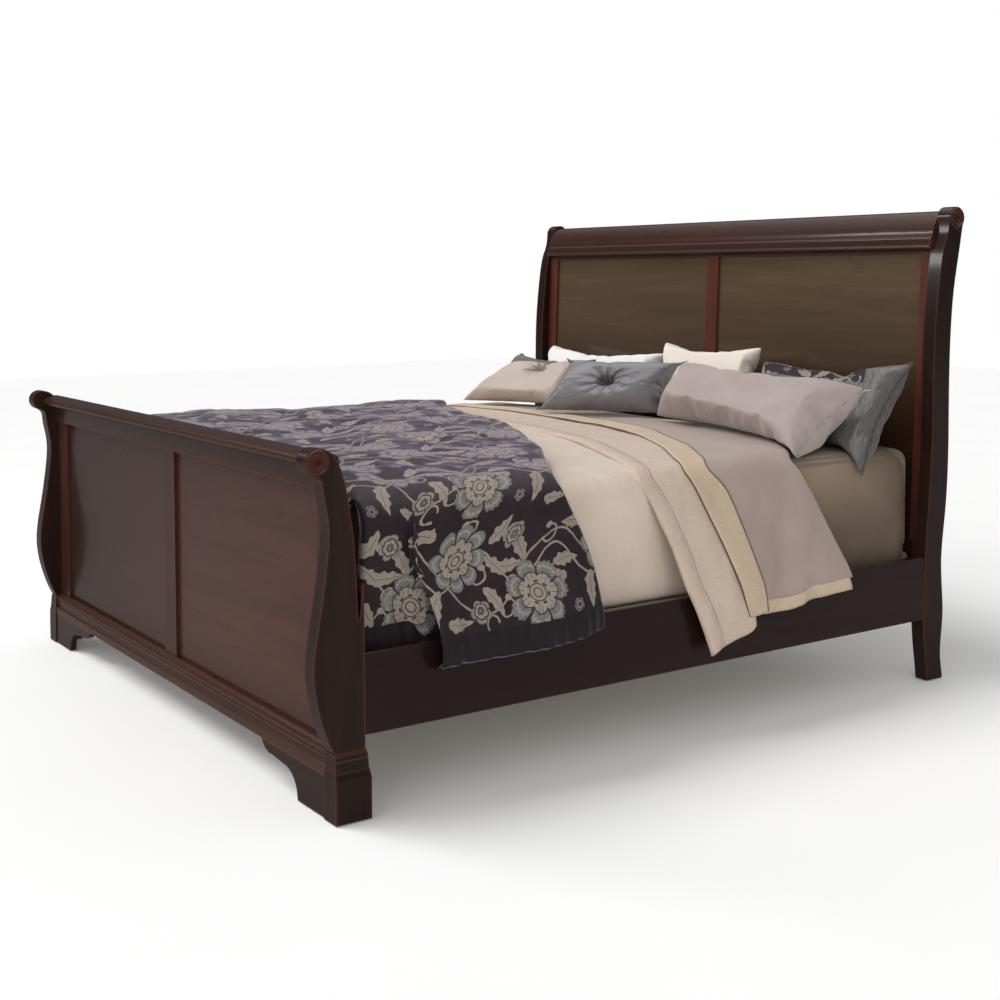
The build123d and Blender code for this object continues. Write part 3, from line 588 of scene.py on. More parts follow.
def linen_wrinkle(s, y, size, rim):
    hang = soft_step(size, 0.96, 1.35)
    flute = np.sin((y - linen_edge(s)) * 40.0 + 1.2 * s) * soft_step(s, 1.0, 1.35)
    top = 0.004 * ripple(s * 3.0, y * 4.0, 11)
    return top + hang * (0.010 * ripple(y * 9.0, s * 2.0, 12) + 0.006 * flute)


linen_hem = through([
    (1.0, 1.50), (1.20, 1.50), (1.262, 1.485), (1.36, 1.455), (1.45, 1.405), (1.60, 1.40),
], 0.04)
linen = drape(
    "linen_blanket_cloth", linen_cloth.mat, linen_edge, lambda s: first_piping(s) + 0.03,
    constant(1.31), linen_hem, 0.026, out=right_only, edge=0.010, wrinkle=linen_wrinkle, thickness=0.004,
)


def sheet_wrinkle(s, y, size, rim):
    hang = soft_step(size, 0.98, 1.35)
    crest = np.exp(-(((y - 1.60 + (s - 1.2) * 0.25) / 0.05) ** 2))
    valley = np.exp(-(((y - 1.53 + (s - 1.2) * 0.4) / 0.035) ** 2))
    top = 0.004 * ripple(s * 3.5 + y * 2.0, y * 3.5, 21) * (1 - hang)
    return top + hang * (0.013 * ripple(y * 8.0 - s * 2.0, s * 2.5, 22) + 0.017 * (crest - 0.8 * valley))


sheet_hem = through([(1.0, 1.40), (1.44, 1.385), (1.62, 1.365), (1.80, 1.35), (2.0, 1.35)], 0.04)
taupe = drape(
    "flat_sheet_cloth", taupe_cloth.mat, lambda s: second_piping(s) - 0.004, sheet_head,
    constant(1.31), sheet_hem, 0.030, out=right_only, edge=0.006, wrinkle=sheet_wrinkle,
)


def band_wrinkle(s, y, size, rim):
    low, high = first_piping(s), second_piping(s)
    place = (y - low) / (high - low)
    pleats = 0.0022 * np.abs(np.sin(place * math.pi * 6.0))
    return pleats + sheet_wrinkle(s, y, size, rim) * 0.7 + 0.002


band = drape(
    "pleated_band", band_cloth.mat, first_piping, lambda s: second_piping(s) + 0.004,
    constant(1.31), lambda y: sheet_hem(y) + 0.028, 0.031, out=right_only, edge=0.004,
    wrinkle=band_wrinkle, pitch=0.008,
)
hem_band = drape(
    "sheet_hem_band", band_cloth.mat, lambda s: second_piping(s) + 0.004, lambda s: sheet_head(s) - 0.004,
    constant(1.29), lambda y: sheet_hem(y) + 0.030, 0.0245, out=right_only, edge=0.004,
    wrinkle=sheet_wrinkle,
)


def brocade():
    """Dark satin ground with woven blossoms, leaves and scrolling stems, repeated in half-drop columns."""
    m = fabric("brocade", (0.019, 0.011, 0.0135), (0.033, 0.021, 0.026), 0.48, 0.50, (700, 420), 0.55, 0.0004)
    m.preset(Sheen_Tint=(0.66, 0.56, 0.84, 1), Sheen_Roughness=0.32)
    ground = m.shader.inputs["Base Color"].links[0].from_socket
    sway_u = m.cloth_noise(9, 9, 2.0) - 0.5
    sway_v = m.cloth_noise(11, 7, 2.0, scale=1.3) - 0.5
    u, v, _ = m.split(m.scaled(m.uv(), (1.16, 1.16, 1)))
    u, v = u + sway_u * 0.030 + 0.12, v + sway_v * 0.030
    wide, tall = 0.34, 0.56
    column = (u / wide).op("FLOOR")
    u = u - column * wide - wide / 2
    v = (v + column.op("MODULO", 2.0).op("ABSOLUTE") * (tall / 2)).op("WRAP", tall / 2, -tall / 2)
    v_far = (v + tall / 2).op("WRAP", tall / 2, -tall / 2)

    def union(parts):
        whole = parts[0]
        for part in parts[1:]:
            whole = whole.op("MAXIMUM", part)
        return whole

    def local(a, b, at_u, at_v, angle):
        """Coordinates turned and moved to a motif."""
        c, s = math.cos(angle), math.sin(angle)
        du, dv = a - at_u, b - at_v
        return du * c + dv * s, dv * c - du * s

    def blossom(a, b, at_u, at_v, radius, petals, frill=0.0, phase=0.0):
        """A many-petalled flower: (its body, the dark lines in it, the pale rim of each petal)."""
        du, dv = a - at_u, b - at_v
        r = distance(du, dv)
        angle = dv.op("ARCTAN2", du)
        petal = (angle * (petals / 2) + phase).op("COSINE").op("ABSOLUTE")
        shape = petal.op("POWER", 0.45) * 0.34 + 0.66
        if frill:
            shape = shape + (angle * (petals * 6)).op("SINE") * frill
        edge = shape * radius
        body = (r - edge).under(0.0, 0.0012)
        slits = petal.under(0.20, 0.06) * r.under(radius * 0.40, 0.002).op("SUBTRACT", 1.0).op("ABSOLUTE")
        veins = (petal - 0.86).near(0.030, 0.02) * (r - radius * 0.55).near(
            radius * 0.13, 0.003)
        heart = (petal.op("POWER", 0.5) * 0.16 + 0.44) * radius
        inner = (r - heart).under(0.0, 0.0012)
        ring = (r - heart - 0.0022).near(0.0017, 0.0008)
        ring = ring.op("MAXIMUM", (r - radius * 0.27).near(0.0018, 0.0008))
        seeds = (r - radius * 0.34).near(radius * 0.035, 0.001)
        dots = (angle * 7.0).op("COSINE").under(-0.2, 0.2) * seeds
        ring = ring.op("MAXIMUM", dots)
        eye = (r - radius * 0.14).near(0.0020, 0.0008)
        rim = (r - edge * 0.84).near(radius * 0.035, 0.001)
        slits = slits * inner.flipped()
        return body, union([slits, veins, ring, eye]) * body, union([rim, inner]) * body

    def leaf(a, b, at_u, at_v, angle, length, width, curl=3.0):
        """A curled leaf with a toothed edge: (its body, its dark midrib)."""
        x, y = local(a, b, at_u, at_v, angle)
        y = y - x * x * curl
        along = (x / length).op("MAXIMUM", 0.0001).op("MINIMUM", 1.0)
        swell = (along.op("POWER", 0.75) * math.pi).op("SINE")
        teeth = (along * 23.0).op("SINE") * 0.16 + 1.0
        half = swell * teeth * width
        inside = (x - length / 2).near(length / 2, 0.001)
        body = (y.op("ABSOLUTE") - half).under(0.0, 0.0010) * inside
        rib = y.near(0.0009, 0.0005) * (along - 0.5).near(0.3, 0.02)
        return body, rib * body

    def scroll(a, b, at_u, at_v, radius, angle):
        """A curling tendril that ends in a drop."""
        x, y = local(a, b, at_u, at_v, angle)
        r = distance(x, y)
        turn = y.op("ARCTAN2", x)
        line = (r - turn * (radius * 0.10) - radius).near(0.0028, 0.0008)
        line = line * turn.near(2.4, 0.05)
        end_u, end_v = -math.cos(0.75) * radius * 1.24, math.sin(0.75) * radius * 1.24
        du, dv = x - end_u, y - end_v
        drop = distance(du, dv).under(0.0105, 0.001)
        return line.op("MAXIMUM", drop)

    def stem(a, b, reach, phase, waves=1):
        k = 2 * math.pi * waves / tall
        swing = (b * k + phase).op("SINE") * reach
        lean = (b * k + phase).op("COSINE") * (reach * k)
        slant = (lean * lean + 1.0).op("SQRT")
        return ((a - swing).op("ABSOLUTE") / slant).under(0.0029, 0.0008)

    flowers = [
        blossom(u, v, -0.055, 0.02, 0.098, 8),
        blossom(u, v_far, 0.070, 0.01, 0.106, 7, 0.030, 0.4),
        blossom(u, v, 0.105, 0.090, 0.034, 5, 0.0, 0.3),
        blossom(u, v_far, -0.110, -0.075, 0.040, 6, 0.02, 0.9),
        blossom(u, v, 0.118, -0.125, 0.020, 5, 0.0, 0.0),
    ]
    # place, angle, length, half width and curl of each leaf; the far ones sit half a tile away
    near_leaves = [
        (0.026, -0.050, -0.5, 0.110, 0.023), (0.036, 0.110, 0.9, 0.100, 0.021, -3.5),
        (-0.090, 0.115, 2.3, 0.090, 0.022), (-0.030, 0.155, 1.2, 0.100, 0.020, 4.0),
        (-0.120, -0.085, -2.0, 0.100, 0.021, 3.5), (0.020, -0.150, -1.2, 0.095, 0.020, -4.0),
    ]
    far_leaves = [
        (-0.010, 0.080, 2.0, 0.100, 0.022, -3.0), (-0.030, -0.010, 3.5, 0.110, 0.022, 3.0),
        (0.000, -0.100, -2.6, 0.090, 0.020, 4.0),
    ]
    leaves = [leaf(u, v, *shape) for shape in near_leaves]
    leaves += [leaf(u, v_far, *shape) for shape in far_leaves]
    leaves.append(leaf(u, v, 0.125, -0.030, 1.2, 0.090, 0.019, 4.0))
    lines = [
        stem(u, v, 0.115, 0.4), stem(u + 0.02, v, 0.055, 2.6, 2),
        scroll(u, v, 0.100, 0.175, 0.026, 0.4), scroll(u, v, -0.120, 0.195, 0.022, 2.6),
        scroll(u, v_far, 0.140, -0.150, 0.024, 4.0), scroll(u, v_far, -0.100, 0.060, 0.024, 1.2),
        scroll(u, v, 0.060, -0.235, 0.020, 5.2), scroll(u, v, 0.030, 0.215, 0.022, 3.4),
        scroll(u, v_far, 0.000, -0.185, 0.024, 0.2), scroll(u, v, -0.140, 0.030, 0.020, 1.8),
    ]
    petals = union([f[0] for f in flowers])
    dark_lines = union([f[1] for f in flowers])
    rims = union([f[2] for f in flowers])
    foliage = union([part[0] for part in leaves] + lines) * petals.flipped()
    ribs = union([part[1] for part in leaves])
    plain = m.attribute("hem").under(0.078, 0.0008)
    patterned = plain.flipped()
    fleck = m.cloth_noise(330, 90, 2.0, 0.6)
    leaf_color = m.ramp(fleck, [(0.3, (0.235, 0.200, 0.160)), (0.7, (0.330, 0.290, 0.235))])
    petal_color = m.ramp(fleck, [(0.3, (0.135, 0.130, 0.130)), (0.7, (0.215, 0.208, 0.205))])
    color = m.mix(foliage * patterned, ground, leaf_color)
    color = m.mix(petals * patterned, color, petal_color)
    color = m.mix(rims * patterned * 0.85, color, (0.335, 0.292, 0.232))
    color = m.mix(dark_lines.op("MAXIMUM", ribs) * patterned * 0.9, color, (0.030, 0.018, 0.022))
    color = m.mix(plain * 0.55, color, (0.014, 0.010, 0.011))
    m.color(color)
    m.bump((petals.op("MAXIMUM", foliage) - dark_lines) * patterned, 0.0009, 0.5)
    m.bump(m.cloth_noise(26, 62, 4.0, 0.62, 0.5), 0.008, 0.28)
    return m


def comforter_fold(s):
    """The pleat where the comforter comes out over the rail: (slack, start, length)."""
    strength = soft_step(np.abs(s), 0.95, 1.20)
    begin = 0.165 + 0.175 * soft_step(np.abs(s), 0.90, 1.38)
    return 0.150 * strength, begin, 0.105


def comforter_wrinkle(s, y, size, rim):
    hang = soft_step(size, 0.98, 1.32)
    top = 0.017 * ripple(s * 1.6, y * 2.0, 41, 2) + 0.007 * ripple(s * 6.0, y * 10.0, 42, 3)
    tuft_s, tuft_y = (s + 0.10) / 0.46, (y - 0.30) / 0.42
    from_tuft = ((tuft_s - np.round(tuft_s)) * 0.46) ** 2 + ((tuft_y - np.round(tuft_y)) * 0.42) ** 2
    top = top - 0.016 * np.exp(-from_tuft / 0.0030)
    side = 0.016 * ripple(y * 6.5 + 0.3 * s, s * 1.1, 43, 2) + 0.004 * ripple(y * 22.0, s * 5.0, 44, 2)
    pucker = 0.0022 * np.sin(y * 150.0 + 3.0 * ripple(y * 9.0, s, 45, 1)) * soft_step(size, 1.24, 1.34)
    sewn = 0.006 * np.exp(-((rim - 0.078) / 0.006) ** 2) * soft_step(size, 1.15, 1.25)
    return top * (1 - hang * 0.8) + hang * (side + pucker) - sewn


comforter_cloth = brocade()
comforter_hem = through([
    (0.05, 1.392), (0.255, 1.392), (0.285, 1.435), (0.48, 1.432), (0.67, 1.422), (0.82, 1.405), (2.0, 1.40),
], 0.03)
comforter = drape(
    "comforter_quilt", comforter_cloth.mat, constant(0.104), comforter_edge, comforter_hem, comforter_hem,
    0.050, crown=0.034, edge=0.022, pitch=0.0105, wrinkle=comforter_wrinkle, fold=comforter_fold,
    thickness=0.010, foot_drop=True,
)


def fitted_sheet():
    """The elastic-edged sheet pulled over the mattress, with puckers round its corners."""
    grow = 0.006
    corner = 0.075
    low, high = bed_low, bed_high
    center = (low + high) / 2
    half_x, half_y = (high.x - low.x) / 2 + grow, (high.y - low.y) / 2 + grow
    # distance in from the side and height above the mattress's top, from the hem to the middle
    profile = np.array([
        (0.002, -0.356), (0.000, -0.330), (-0.001, -0.28), (-0.004, -0.20), (-0.003, -0.11), (0.0, -0.055),
        (0.006, -0.030), (0.019, -0.011), (0.042, 0.001), (0.075, 0.0045), (0.16, 0.006), (0.40, 0.007),
        (0.70, 0.007), (0.94, 0.007),
    ])
    fine = np.linspace(0, len(profile) - 1, 64)
    insets = np.interp(fine, range(len(profile)), profile[:, 0])
    levels = np.interp(fine, range(len(profile)), profile[:, 1]) + high.z
    count = 560
    around = np.linspace(0, 1, count)
    rows = []
    for inset, level in zip(insets, levels):
        a, b = max(half_x - inset, 0.02), max(half_y - inset, 0.05)
        radius = max(corner - inset * 0.3, 0.01)
        straight_x, straight_y = 2 * (a - radius), 2 * (b - radius)
        base = [2 * (half_x - corner), math.pi / 2 * corner, 2 * (half_y - corner), math.pi / 2 * corner] * 2
        marks = np.concatenate([[0], np.cumsum(base)]) / sum(base)
        starts = [
            (-a + radius, -b, 0), (a - radius, -b + radius, None),
            (a, -b + radius, 1), (a - radius, b - radius, None),
            (a - radius, b, 2), (-a + radius, b - radius, None),
            (-a, b - radius, 3), (-a + radius, -b + radius, None),
        ]
        ring = []
        for place in around:
            k = min(7, int(np.searchsorted(marks, place, side="right") - 1))
            part = (place - marks[k]) / (marks[k + 1] - marks[k])
            x, y, way = starts[k]
            if way is None:
                angle = math.radians(-90 + 90 * (k // 2)) + part * math.pi / 2
                ring.append((x + radius * math.cos(angle), y + radius * math.sin(angle)))
            else:
                step = part * (straight_x if way % 2 == 0 else straight_y)
                dx, dy = [(1, 0), (0, 1), (-1, 0), (0, -1)][way]
                ring.append((x + dx * step, y + dy * step))
        rows.append([(p[0] + center.x, p[1] + center.y, level) for p in ring])
    points = np.array(rows)
    out = points[..., :2] - np.array([center.x, center.y])
    near = np.exp(-((np.abs(out[..., 0]) - half_x) ** 2 + (np.abs(out[..., 1]) - half_y) ** 2) / 0.06)
    down = np.clip((high.z - points[..., 2]) / 0.3, 0, 1)
    away = out / (np.linalg.norm(out, axis=-1, keepdims=True) + 1e-9)
    lengths = around * 2 * (2 * half_x + 2 * half_y)
    where = np.broadcast_to(lengths[None, :], down.shape)
    slack = 0.0035 * ripple(where * 5.0, down * 2.0, 61)
    gathers = near * 0.005 * ripple(where * 22.0 + down * 3, down * 1.2, 62)
    pull = down * (slack + gathers)
    free = soft_step(points[..., 1] - foot_y, 1.78, 1.95)
    points[..., :2] += away * np.clip(pull, -0.003, 0.006 * free - 0.001)[..., None]
    points[..., 2] += (1 - down) * 0.0015 * ripple(points[..., 0] * 4, points[..., 1] * 5, 63)
    climb = np.concatenate([[0], np.cumsum(np.hypot(np.diff(insets), np.diff(levels)))])
    uv = np.stack([where, np.broadcast_to(climb[:, None], down.shape)], axis=-1)
    cloth = fabric("fitted_cotton", (0.270, 0.200, 0.142), (0.345, 0.262, 0.190), 0.50, 0.08, (560, 560), 0.2)
    # Painted shade: the sheet's colour is darkened towards its bottom and towards the headboard, standing in
    # for the shade that falls there
    x, y, z = cloth.split(cloth.position())
    low = (z - (high.z - 0.10)).under(0.0, 0.16)
    near_head = (y - (high.y - 0.22)).under(0.0, 0.28).flipped()
    before = cloth.shader.inputs["Base Color"].links[0].from_socket
    shade = (low * 0.62).op("MAXIMUM", near_head * 0.72)
    cloth.color(cloth.mix(shade, before, (0.034, 0.022, 0.014)))
    cloth.preset(Specular_IOR_Level=0.15)
    cloth.bump(cloth.cloth_noise(4, 14, distort=0.6), 0.010, 0.35)
    return grid_mesh("fitted_sheet_cloth", points, uv, cloth.mat)


fitted = fitted_sheet()


def edge_line(obj, row, lift=0.001):
    """The points of one row of a draped cloth."""
    count = len(obj.data.vertices) // obj["rows"]
    start = (row % obj["rows"]) * count
    return [obj.data.vertices[start + i].co + Vector((0, 0, lift)) for i in range(0, count, 2)]


# ---------------------------------------------------------------- what each piece stands for
def declare(obj, slot_name, *replaced):
    """Sets the root body as what an object rides and hides the nodes it stands for; slot_name is not used."""
    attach(obj, "root")
    if replaced:
        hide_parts(*replaced)


declare(coverlet, "cream_coverlet", "coverlet")
declare(linen, "beige_linen", "linen_blanket")
declare(taupe, "taupe_cotton", "flat_sheet")
declare(band, "cream_coverlet")
declare(hem_band, "cream_coverlet")
declare(comforter, "brocade", "comforter")


def cut_of(obj):
    """Width and mean length of the flat cut, from the layout map."""
    layout = obj.data.uv_layers["cloth"].data
    flat = np.empty(len(layout) * 2)
    layout.foreach_get("uv", flat)
    flat = flat.reshape(-1, 4, 2)
    across, along = flat[:, 2] - flat[:, 0], flat[:, 3] - flat[:, 1]
    area = float(np.abs(across[:, 0] * along[:, 1] - across[:, 1] * along[:, 0]).sum() / 2)
    width = float(flat[..., 0].max() - flat[..., 0].min())
    return width, area / width


def cloth_sheet(obj, held, *rests_on):
    cut_of(obj)


declare(fitted, "fitted_cotton", "fitted_sheet")
cloth_sheet(coverlet, "draped", "fitted_sheet_cloth")
cloth_sheet(linen, "folded", "coverlet_cloth")
cloth_sheet(taupe, "folded", "linen_blanket_cloth")
cloth_sheet(band, "folded", "linen_blanket_cloth")
cloth_sheet(hem_band, "folded", "linen_blanket_cloth")
cloth_sheet(comforter, "draped", "coverlet_cloth")


# ---------------------------------------------------------------- pillows and cushions
def pillow_shape(width, height, plump, pins, seed):
    """A cloth case blown up from two flat sheets sewn round the edge; pins are (x, y, radius, hold).

    Returns points, faces, flat layout, and the seam's point numbers in order."""
    pitch = 0.014
    columns, rows = int(width / pitch) + 1, int(height / pitch) + 1
    xs, ys = np.linspace(-0.5, 0.5, columns), np.linspace(-0.5, 0.5, rows)
    points, faces, index = [], [], {}
    for layer in (1, -1):
        for j, y in enumerate(ys):
            for i, x in enumerate(xs):
                seam = i in (0, columns - 1) or j in (0, rows - 1)
                key = (0 if seam else layer, i, j)
                if key not in index:
                    index[key] = len(points)
                    swell = max(0.0, (1 - abs(2 * x) ** 2.6) * (1 - abs(2 * y) ** 2.6)) ** 0.5
                    pull = 1.0 - 0.035 * (1 - abs(2 * x) ** 2) * abs(2 * y) ** 6
                    side = 1.0 - 0.030 * (1 - abs(2 * y) ** 2) * abs(2 * x) ** 6
                    height_now = 0.0 if seam else layer * (0.30 * plump * swell + 0.004)
                    points.append((x * width * side, y * height * pull, height_now))
        for j in range(rows - 1):
            for i in range(columns - 1):
                quad = []
                for a, b in ((i, j), (i + 1, j), (i + 1, j + 1), (i, j + 1)):
                    seam = a in (0, columns - 1) or b in (0, rows - 1)
                    quad.append(index[(0 if seam else layer, a, b)])
                faces.append(quad if layer > 0 else quad[::-1])
    seam = [index[(0, i, 0)] for i in range(columns)]
    seam += [index[(0, columns - 1, j)] for j in range(1, rows)]
    seam += [index[(0, i, rows - 1)] for i in range(columns - 2, -1, -1)]
    seam += [index[(0, 0, j)] for j in range(rows - 2, 0, -1)]
    start = np.array(points)
    layout = start[:, :2].copy()
    points = blown(start, faces, pins, seed, plump)
    tips = points[[index[(0, i, j)] for i in (0, columns - 1) for j in (0, rows - 1)], :2]
    span = (tips[2:] - tips[:2])[:, 0].mean(), (tips[1::2] - tips[::2])[:, 1].mean()
    points[:, :2] = (points[:, :2] - tips.mean(axis=0)) * (width / span[0], height / span[1])
    return points, faces, layout, seam


def blown(start, faces, pins, seed, plump):
    jitter = np.random.RandomState(seed).uniform(-1, 1, start.shape) * 0.0012
    start = start + jitter
    mesh = bpy.data.meshes.new("case")
    mesh.from_pydata(start.tolist(), [], faces)
    obj = add_object("case", mesh)
    held = obj.vertex_groups.new(name="held")
    for x, y, radius, depth in pins:
        for i, p in enumerate(start):
            if math.hypot(p[0] - x, p[1] - y) < radius:
                held.add([i], 1.0, "REPLACE")
                mesh.vertices[i].co.z = math.copysign(depth, p[2])
    mod = obj.modifiers.new("cloth", "CLOTH")
    settings = mod.settings
    for key, value in dict(
        quality=7, mass=0.25, tension_stiffness=22, compression_stiffness=22, shear_stiffness=8,
        bending_stiffness=0.35, air_damping=4.0, use_pressure=True, uniform_pressure_force=3.5,
    ).items():
        setattr(settings, key, value)
    settings.effector_weights.gravity = 0.0
    if pins:
        settings.vertex_group_mass = "held"
    mod.point_cache.frame_start = 1
    mod.point_cache.frame_end = 24
    mod.collision_settings.use_collision = False
    scene = bpy.context.scene
    for moment in range(1, 22):
        scene.frame_set(moment)
    shaped = obj.evaluated_get(bpy.context.evaluated_depsgraph_get())
    points = np.array([v.co[:] for v in shaped.data.vertices])
    scene.frame_set(1)
    bpy.data.objects.remove(obj)
    bpy.data.meshes.remove(mesh)
    points[:, 2] = np.clip(points[:, 2], -plump / 2, plump / 2)
    return points


def bed_surface(x, y):
    """Level of the bedding under the pillows, y from the foot."""
    side = np.clip((np.abs(x) - (half_bed - 0.06)) / 0.09, 0, 1)
    crown = 0.014 * (1 - np.clip(np.abs(x) / half_bed, 0, 1) ** 3)
    layers = np.where(y < sheet_head(x) + 0.02, 0.034, 0.006)
    return bed_top + layers + crown - (1 - np.sqrt(np.clip(1 - side**2, 0, 1))) * 0.09


def placed(points, width, height, corners):
    """Moves a case from its flat place onto four corners, from the lower left one round to the upper left."""
    low_left, low_right, up_right, up_left = [np.array(c) for c in corners]
    a = (points[:, 0] / width + 0.5)[:, None]
    b = (points[:, 1] / height + 0.5)[:, None]
    base = (low_left * (1 - a) + low_right * a) * (1 - b) + (up_left * (1 - a) + up_right * a) * b
    across = (low_right - low_left) + (up_right - up_left)
    up = (up_left - low_left) + (up_right - low_right)
    normal = np.cross(across, up)
    normal /= np.linalg.norm(normal)
    moved = base + normal * points[:, 2:3]
    floor = bed_surface(moved[:, 0], moved[:, 1]) + 0.003
    under = floor - moved[:, 2]
    give = 0.012
    sunk = floor + give * np.exp(-np.clip(under + give, 0, None) / 0.03)
    pressed = np.where(under > -give, sunk, moved[:, 2])
    moved[:, 2] = np.maximum(moved[:, 2], pressed)
    moved[:, 1] += foot_y
    return moved, normal


def ring_tube(name, line, radius, material, closed=True):
    """A cord along a line of points, closed unless told otherwise."""
    curve = bpy.data.curves.new(name, "CURVE")
    curve.dimensions = "3D"
    spline = curve.splines.new("POLY")
    spline.points.add(len(line) - 1)
    for point, place in zip(spline.points, line):
        point.co = tuple(place) + (1.0,)
    spline.use_cyclic_u = closed
    curve.bevel_depth = radius
    curve.bevel_resolution = 2
    curve.materials.append(material)
    return add_object(name, curve)


def make_pillow(name, material, size, plump, corners, pins, seed, flange, cord, open_end, pattern):
    """One filled case, with a flat border, a cord or a patterned strip where it has them."""
    width, height = size
    points, faces, layout, seam = pillow_shape(width, height, plump, pins, seed)
    moved, normal = placed(points, width, height, corners)
    extra_points, extra_faces, extra_layout = [], [], []
    if flange:
        rim = layout[seam] / np.array([width / 2, height / 2])
        outward = np.sign(rim) * (np.abs(rim) > 0.999)
        count = len(moved)
        across = (np.array(corners[1]) - np.array(corners[0])) / width
        up = (np.array(corners[3]) - np.array(corners[0])) / height
        for k, i in enumerate(seam):
            step = outward[k] * flange
            if open_end:
                step = step * ((1, 0) if rim[k][0] > 0 else (0, 0))
            wave = 0.006 * math.sin(k * 1.1) + 0.004 * math.sin(k * 2.3)
            rise = step[1] * (1.0 if step[1] > 0 else 0.35)
            place = moved[i] + across * step[0] + up * rise + normal * wave
            place[2] = max(place[2], bed_surface(place[0], place[1] - foot_y) + 0.004)
            extra_points.append(place)
            extra_layout.append(layout[i] + step)
            nxt = (k + 1) % len(seam)
            extra_faces.append([i, seam[nxt], count + nxt, count + k])
    all_points, all_layout = moved, layout
    if flange:
        all_points, all_layout = np.vstack([moved, extra_points]), np.vstack([layout, extra_layout])
    obj, corner_layout = cloth_mesh(name, all_points, faces + extra_faces, all_layout, material)
    obj.modifiers.new("smooth", "SUBSURF").levels = 1
    obj.modifiers["smooth"].render_levels = 1
    if pattern:
        mesh = obj.data
        mesh.materials.append(comforter_cloth.mat)
        flat_hem = mesh.attributes.new("hem", "FLOAT", "POINT")
        flat_hem.data.foreach_set("value", [1.0] * len(mesh.vertices))
        middles = corner_layout.reshape(-1, 4, 2).mean(axis=1)
        strip = (middles[:, 1] > height * 0.22) & (middles[:, 0] < width * 0.30)
        mesh.polygons.foreach_set("material_index", strip.astype(int))
    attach(obj, "root")
    if cord:
        trim = ring_tube(name + "_cord", moved[seam], 0.0032, cord)
        declare(trim, "grey_satin")
    return obj


satin_cloth = fabric(
    "grey_satin", (0.085, 0.076, 0.078), (0.135, 0.122, 0.124), 0.30, 0.30, (900, 900), 0.2, 0.0003, 0.4
)
satin_cloth.preset(Specular_IOR_Level=1.0)
satin_cloth.bump(satin_cloth.cloth_noise(18, 9, 3.0, 0.55, 0.8), 0.020, 0.45)
satin_cloth.bump(satin_cloth.cloth_noise(34, 7, 3.0, 0.6, 1.2), 0.014, 0.5)
ivory_cloth = fabric("ivory_cotton", (0.74, 0.66, 0.58), (0.84, 0.77, 0.69), 0.7, 0.3, (500, 500), 0.3)
pale_cloth = fabric("pale_cotton", (0.80, 0.77, 0.76), (0.90, 0.87, 0.86), 0.7, 0.3, (600, 600), 0.3)
case_cloth = fabric("taupe_case", (0.325, 0.268, 0.250), (0.40, 0.335, 0.315), 0.6, 0.25, (640, 640), 0.22)

knot_cloth = fabric(
    "beige_pillow_linen", (0.43, 0.365, 0.315), (0.54, 0.465, 0.405), 0.8, 0.15, (300, 300), 0.55, 0.001
)
knot_u, knot_v, _ = knot_cloth.split(knot_cloth.uv())
knot_u, knot_v = knot_u - 0.03, knot_v - 0.09
reach = distance(knot_u, knot_v)
spokes = (knot_v.op("ARCTAN2", knot_u) * 11.0 + knot_cloth.noise(knot_cloth.uv(), 22.0) * 5.0).op("SINE")
knot_cloth.bump(spokes * reach.under(0.06, 0.06) * reach.under(0.004, 0.003).flipped(), 0.012, 0.8)
tuft_cloth = fabric(
    "grey_satin_cushion", (0.120, 0.116, 0.128), (0.190, 0.184, 0.198), 0.30, 0.35, (900, 900), 0.2, 0.0003,
    0.4,
)
tuft_cloth.preset(Specular_IOR_Level=1.0)
tuft_u, tuft_v, _ = tuft_cloth.split(tuft_cloth.uv())
reach = distance(tuft_u, tuft_v)
spokes = (tuft_v.op("ARCTAN2", tuft_u) * 9.0 + tuft_cloth.noise(tuft_cloth.uv(), 16.0) * 6.0).op("SINE")
tuft_cloth.bump(spokes * reach.under(0.06, 0.06), 0.012, 0.8)
tuft_cloth.bump(tuft_cloth.cloth_noise(12, 14, distort=1.0), 0.018, 0.4)
seam_u, seam_v = tuft_u.op("ABSOLUTE"), tuft_v.op("ABSOLUTE")
seam_line = (seam_u - 0.231).near(0.002, 0.001).op(
    "MAXIMUM", (seam_v - 0.171).near(0.002, 0.001))
tuft_cloth.bump(seam_line, 0.003, -0.9)
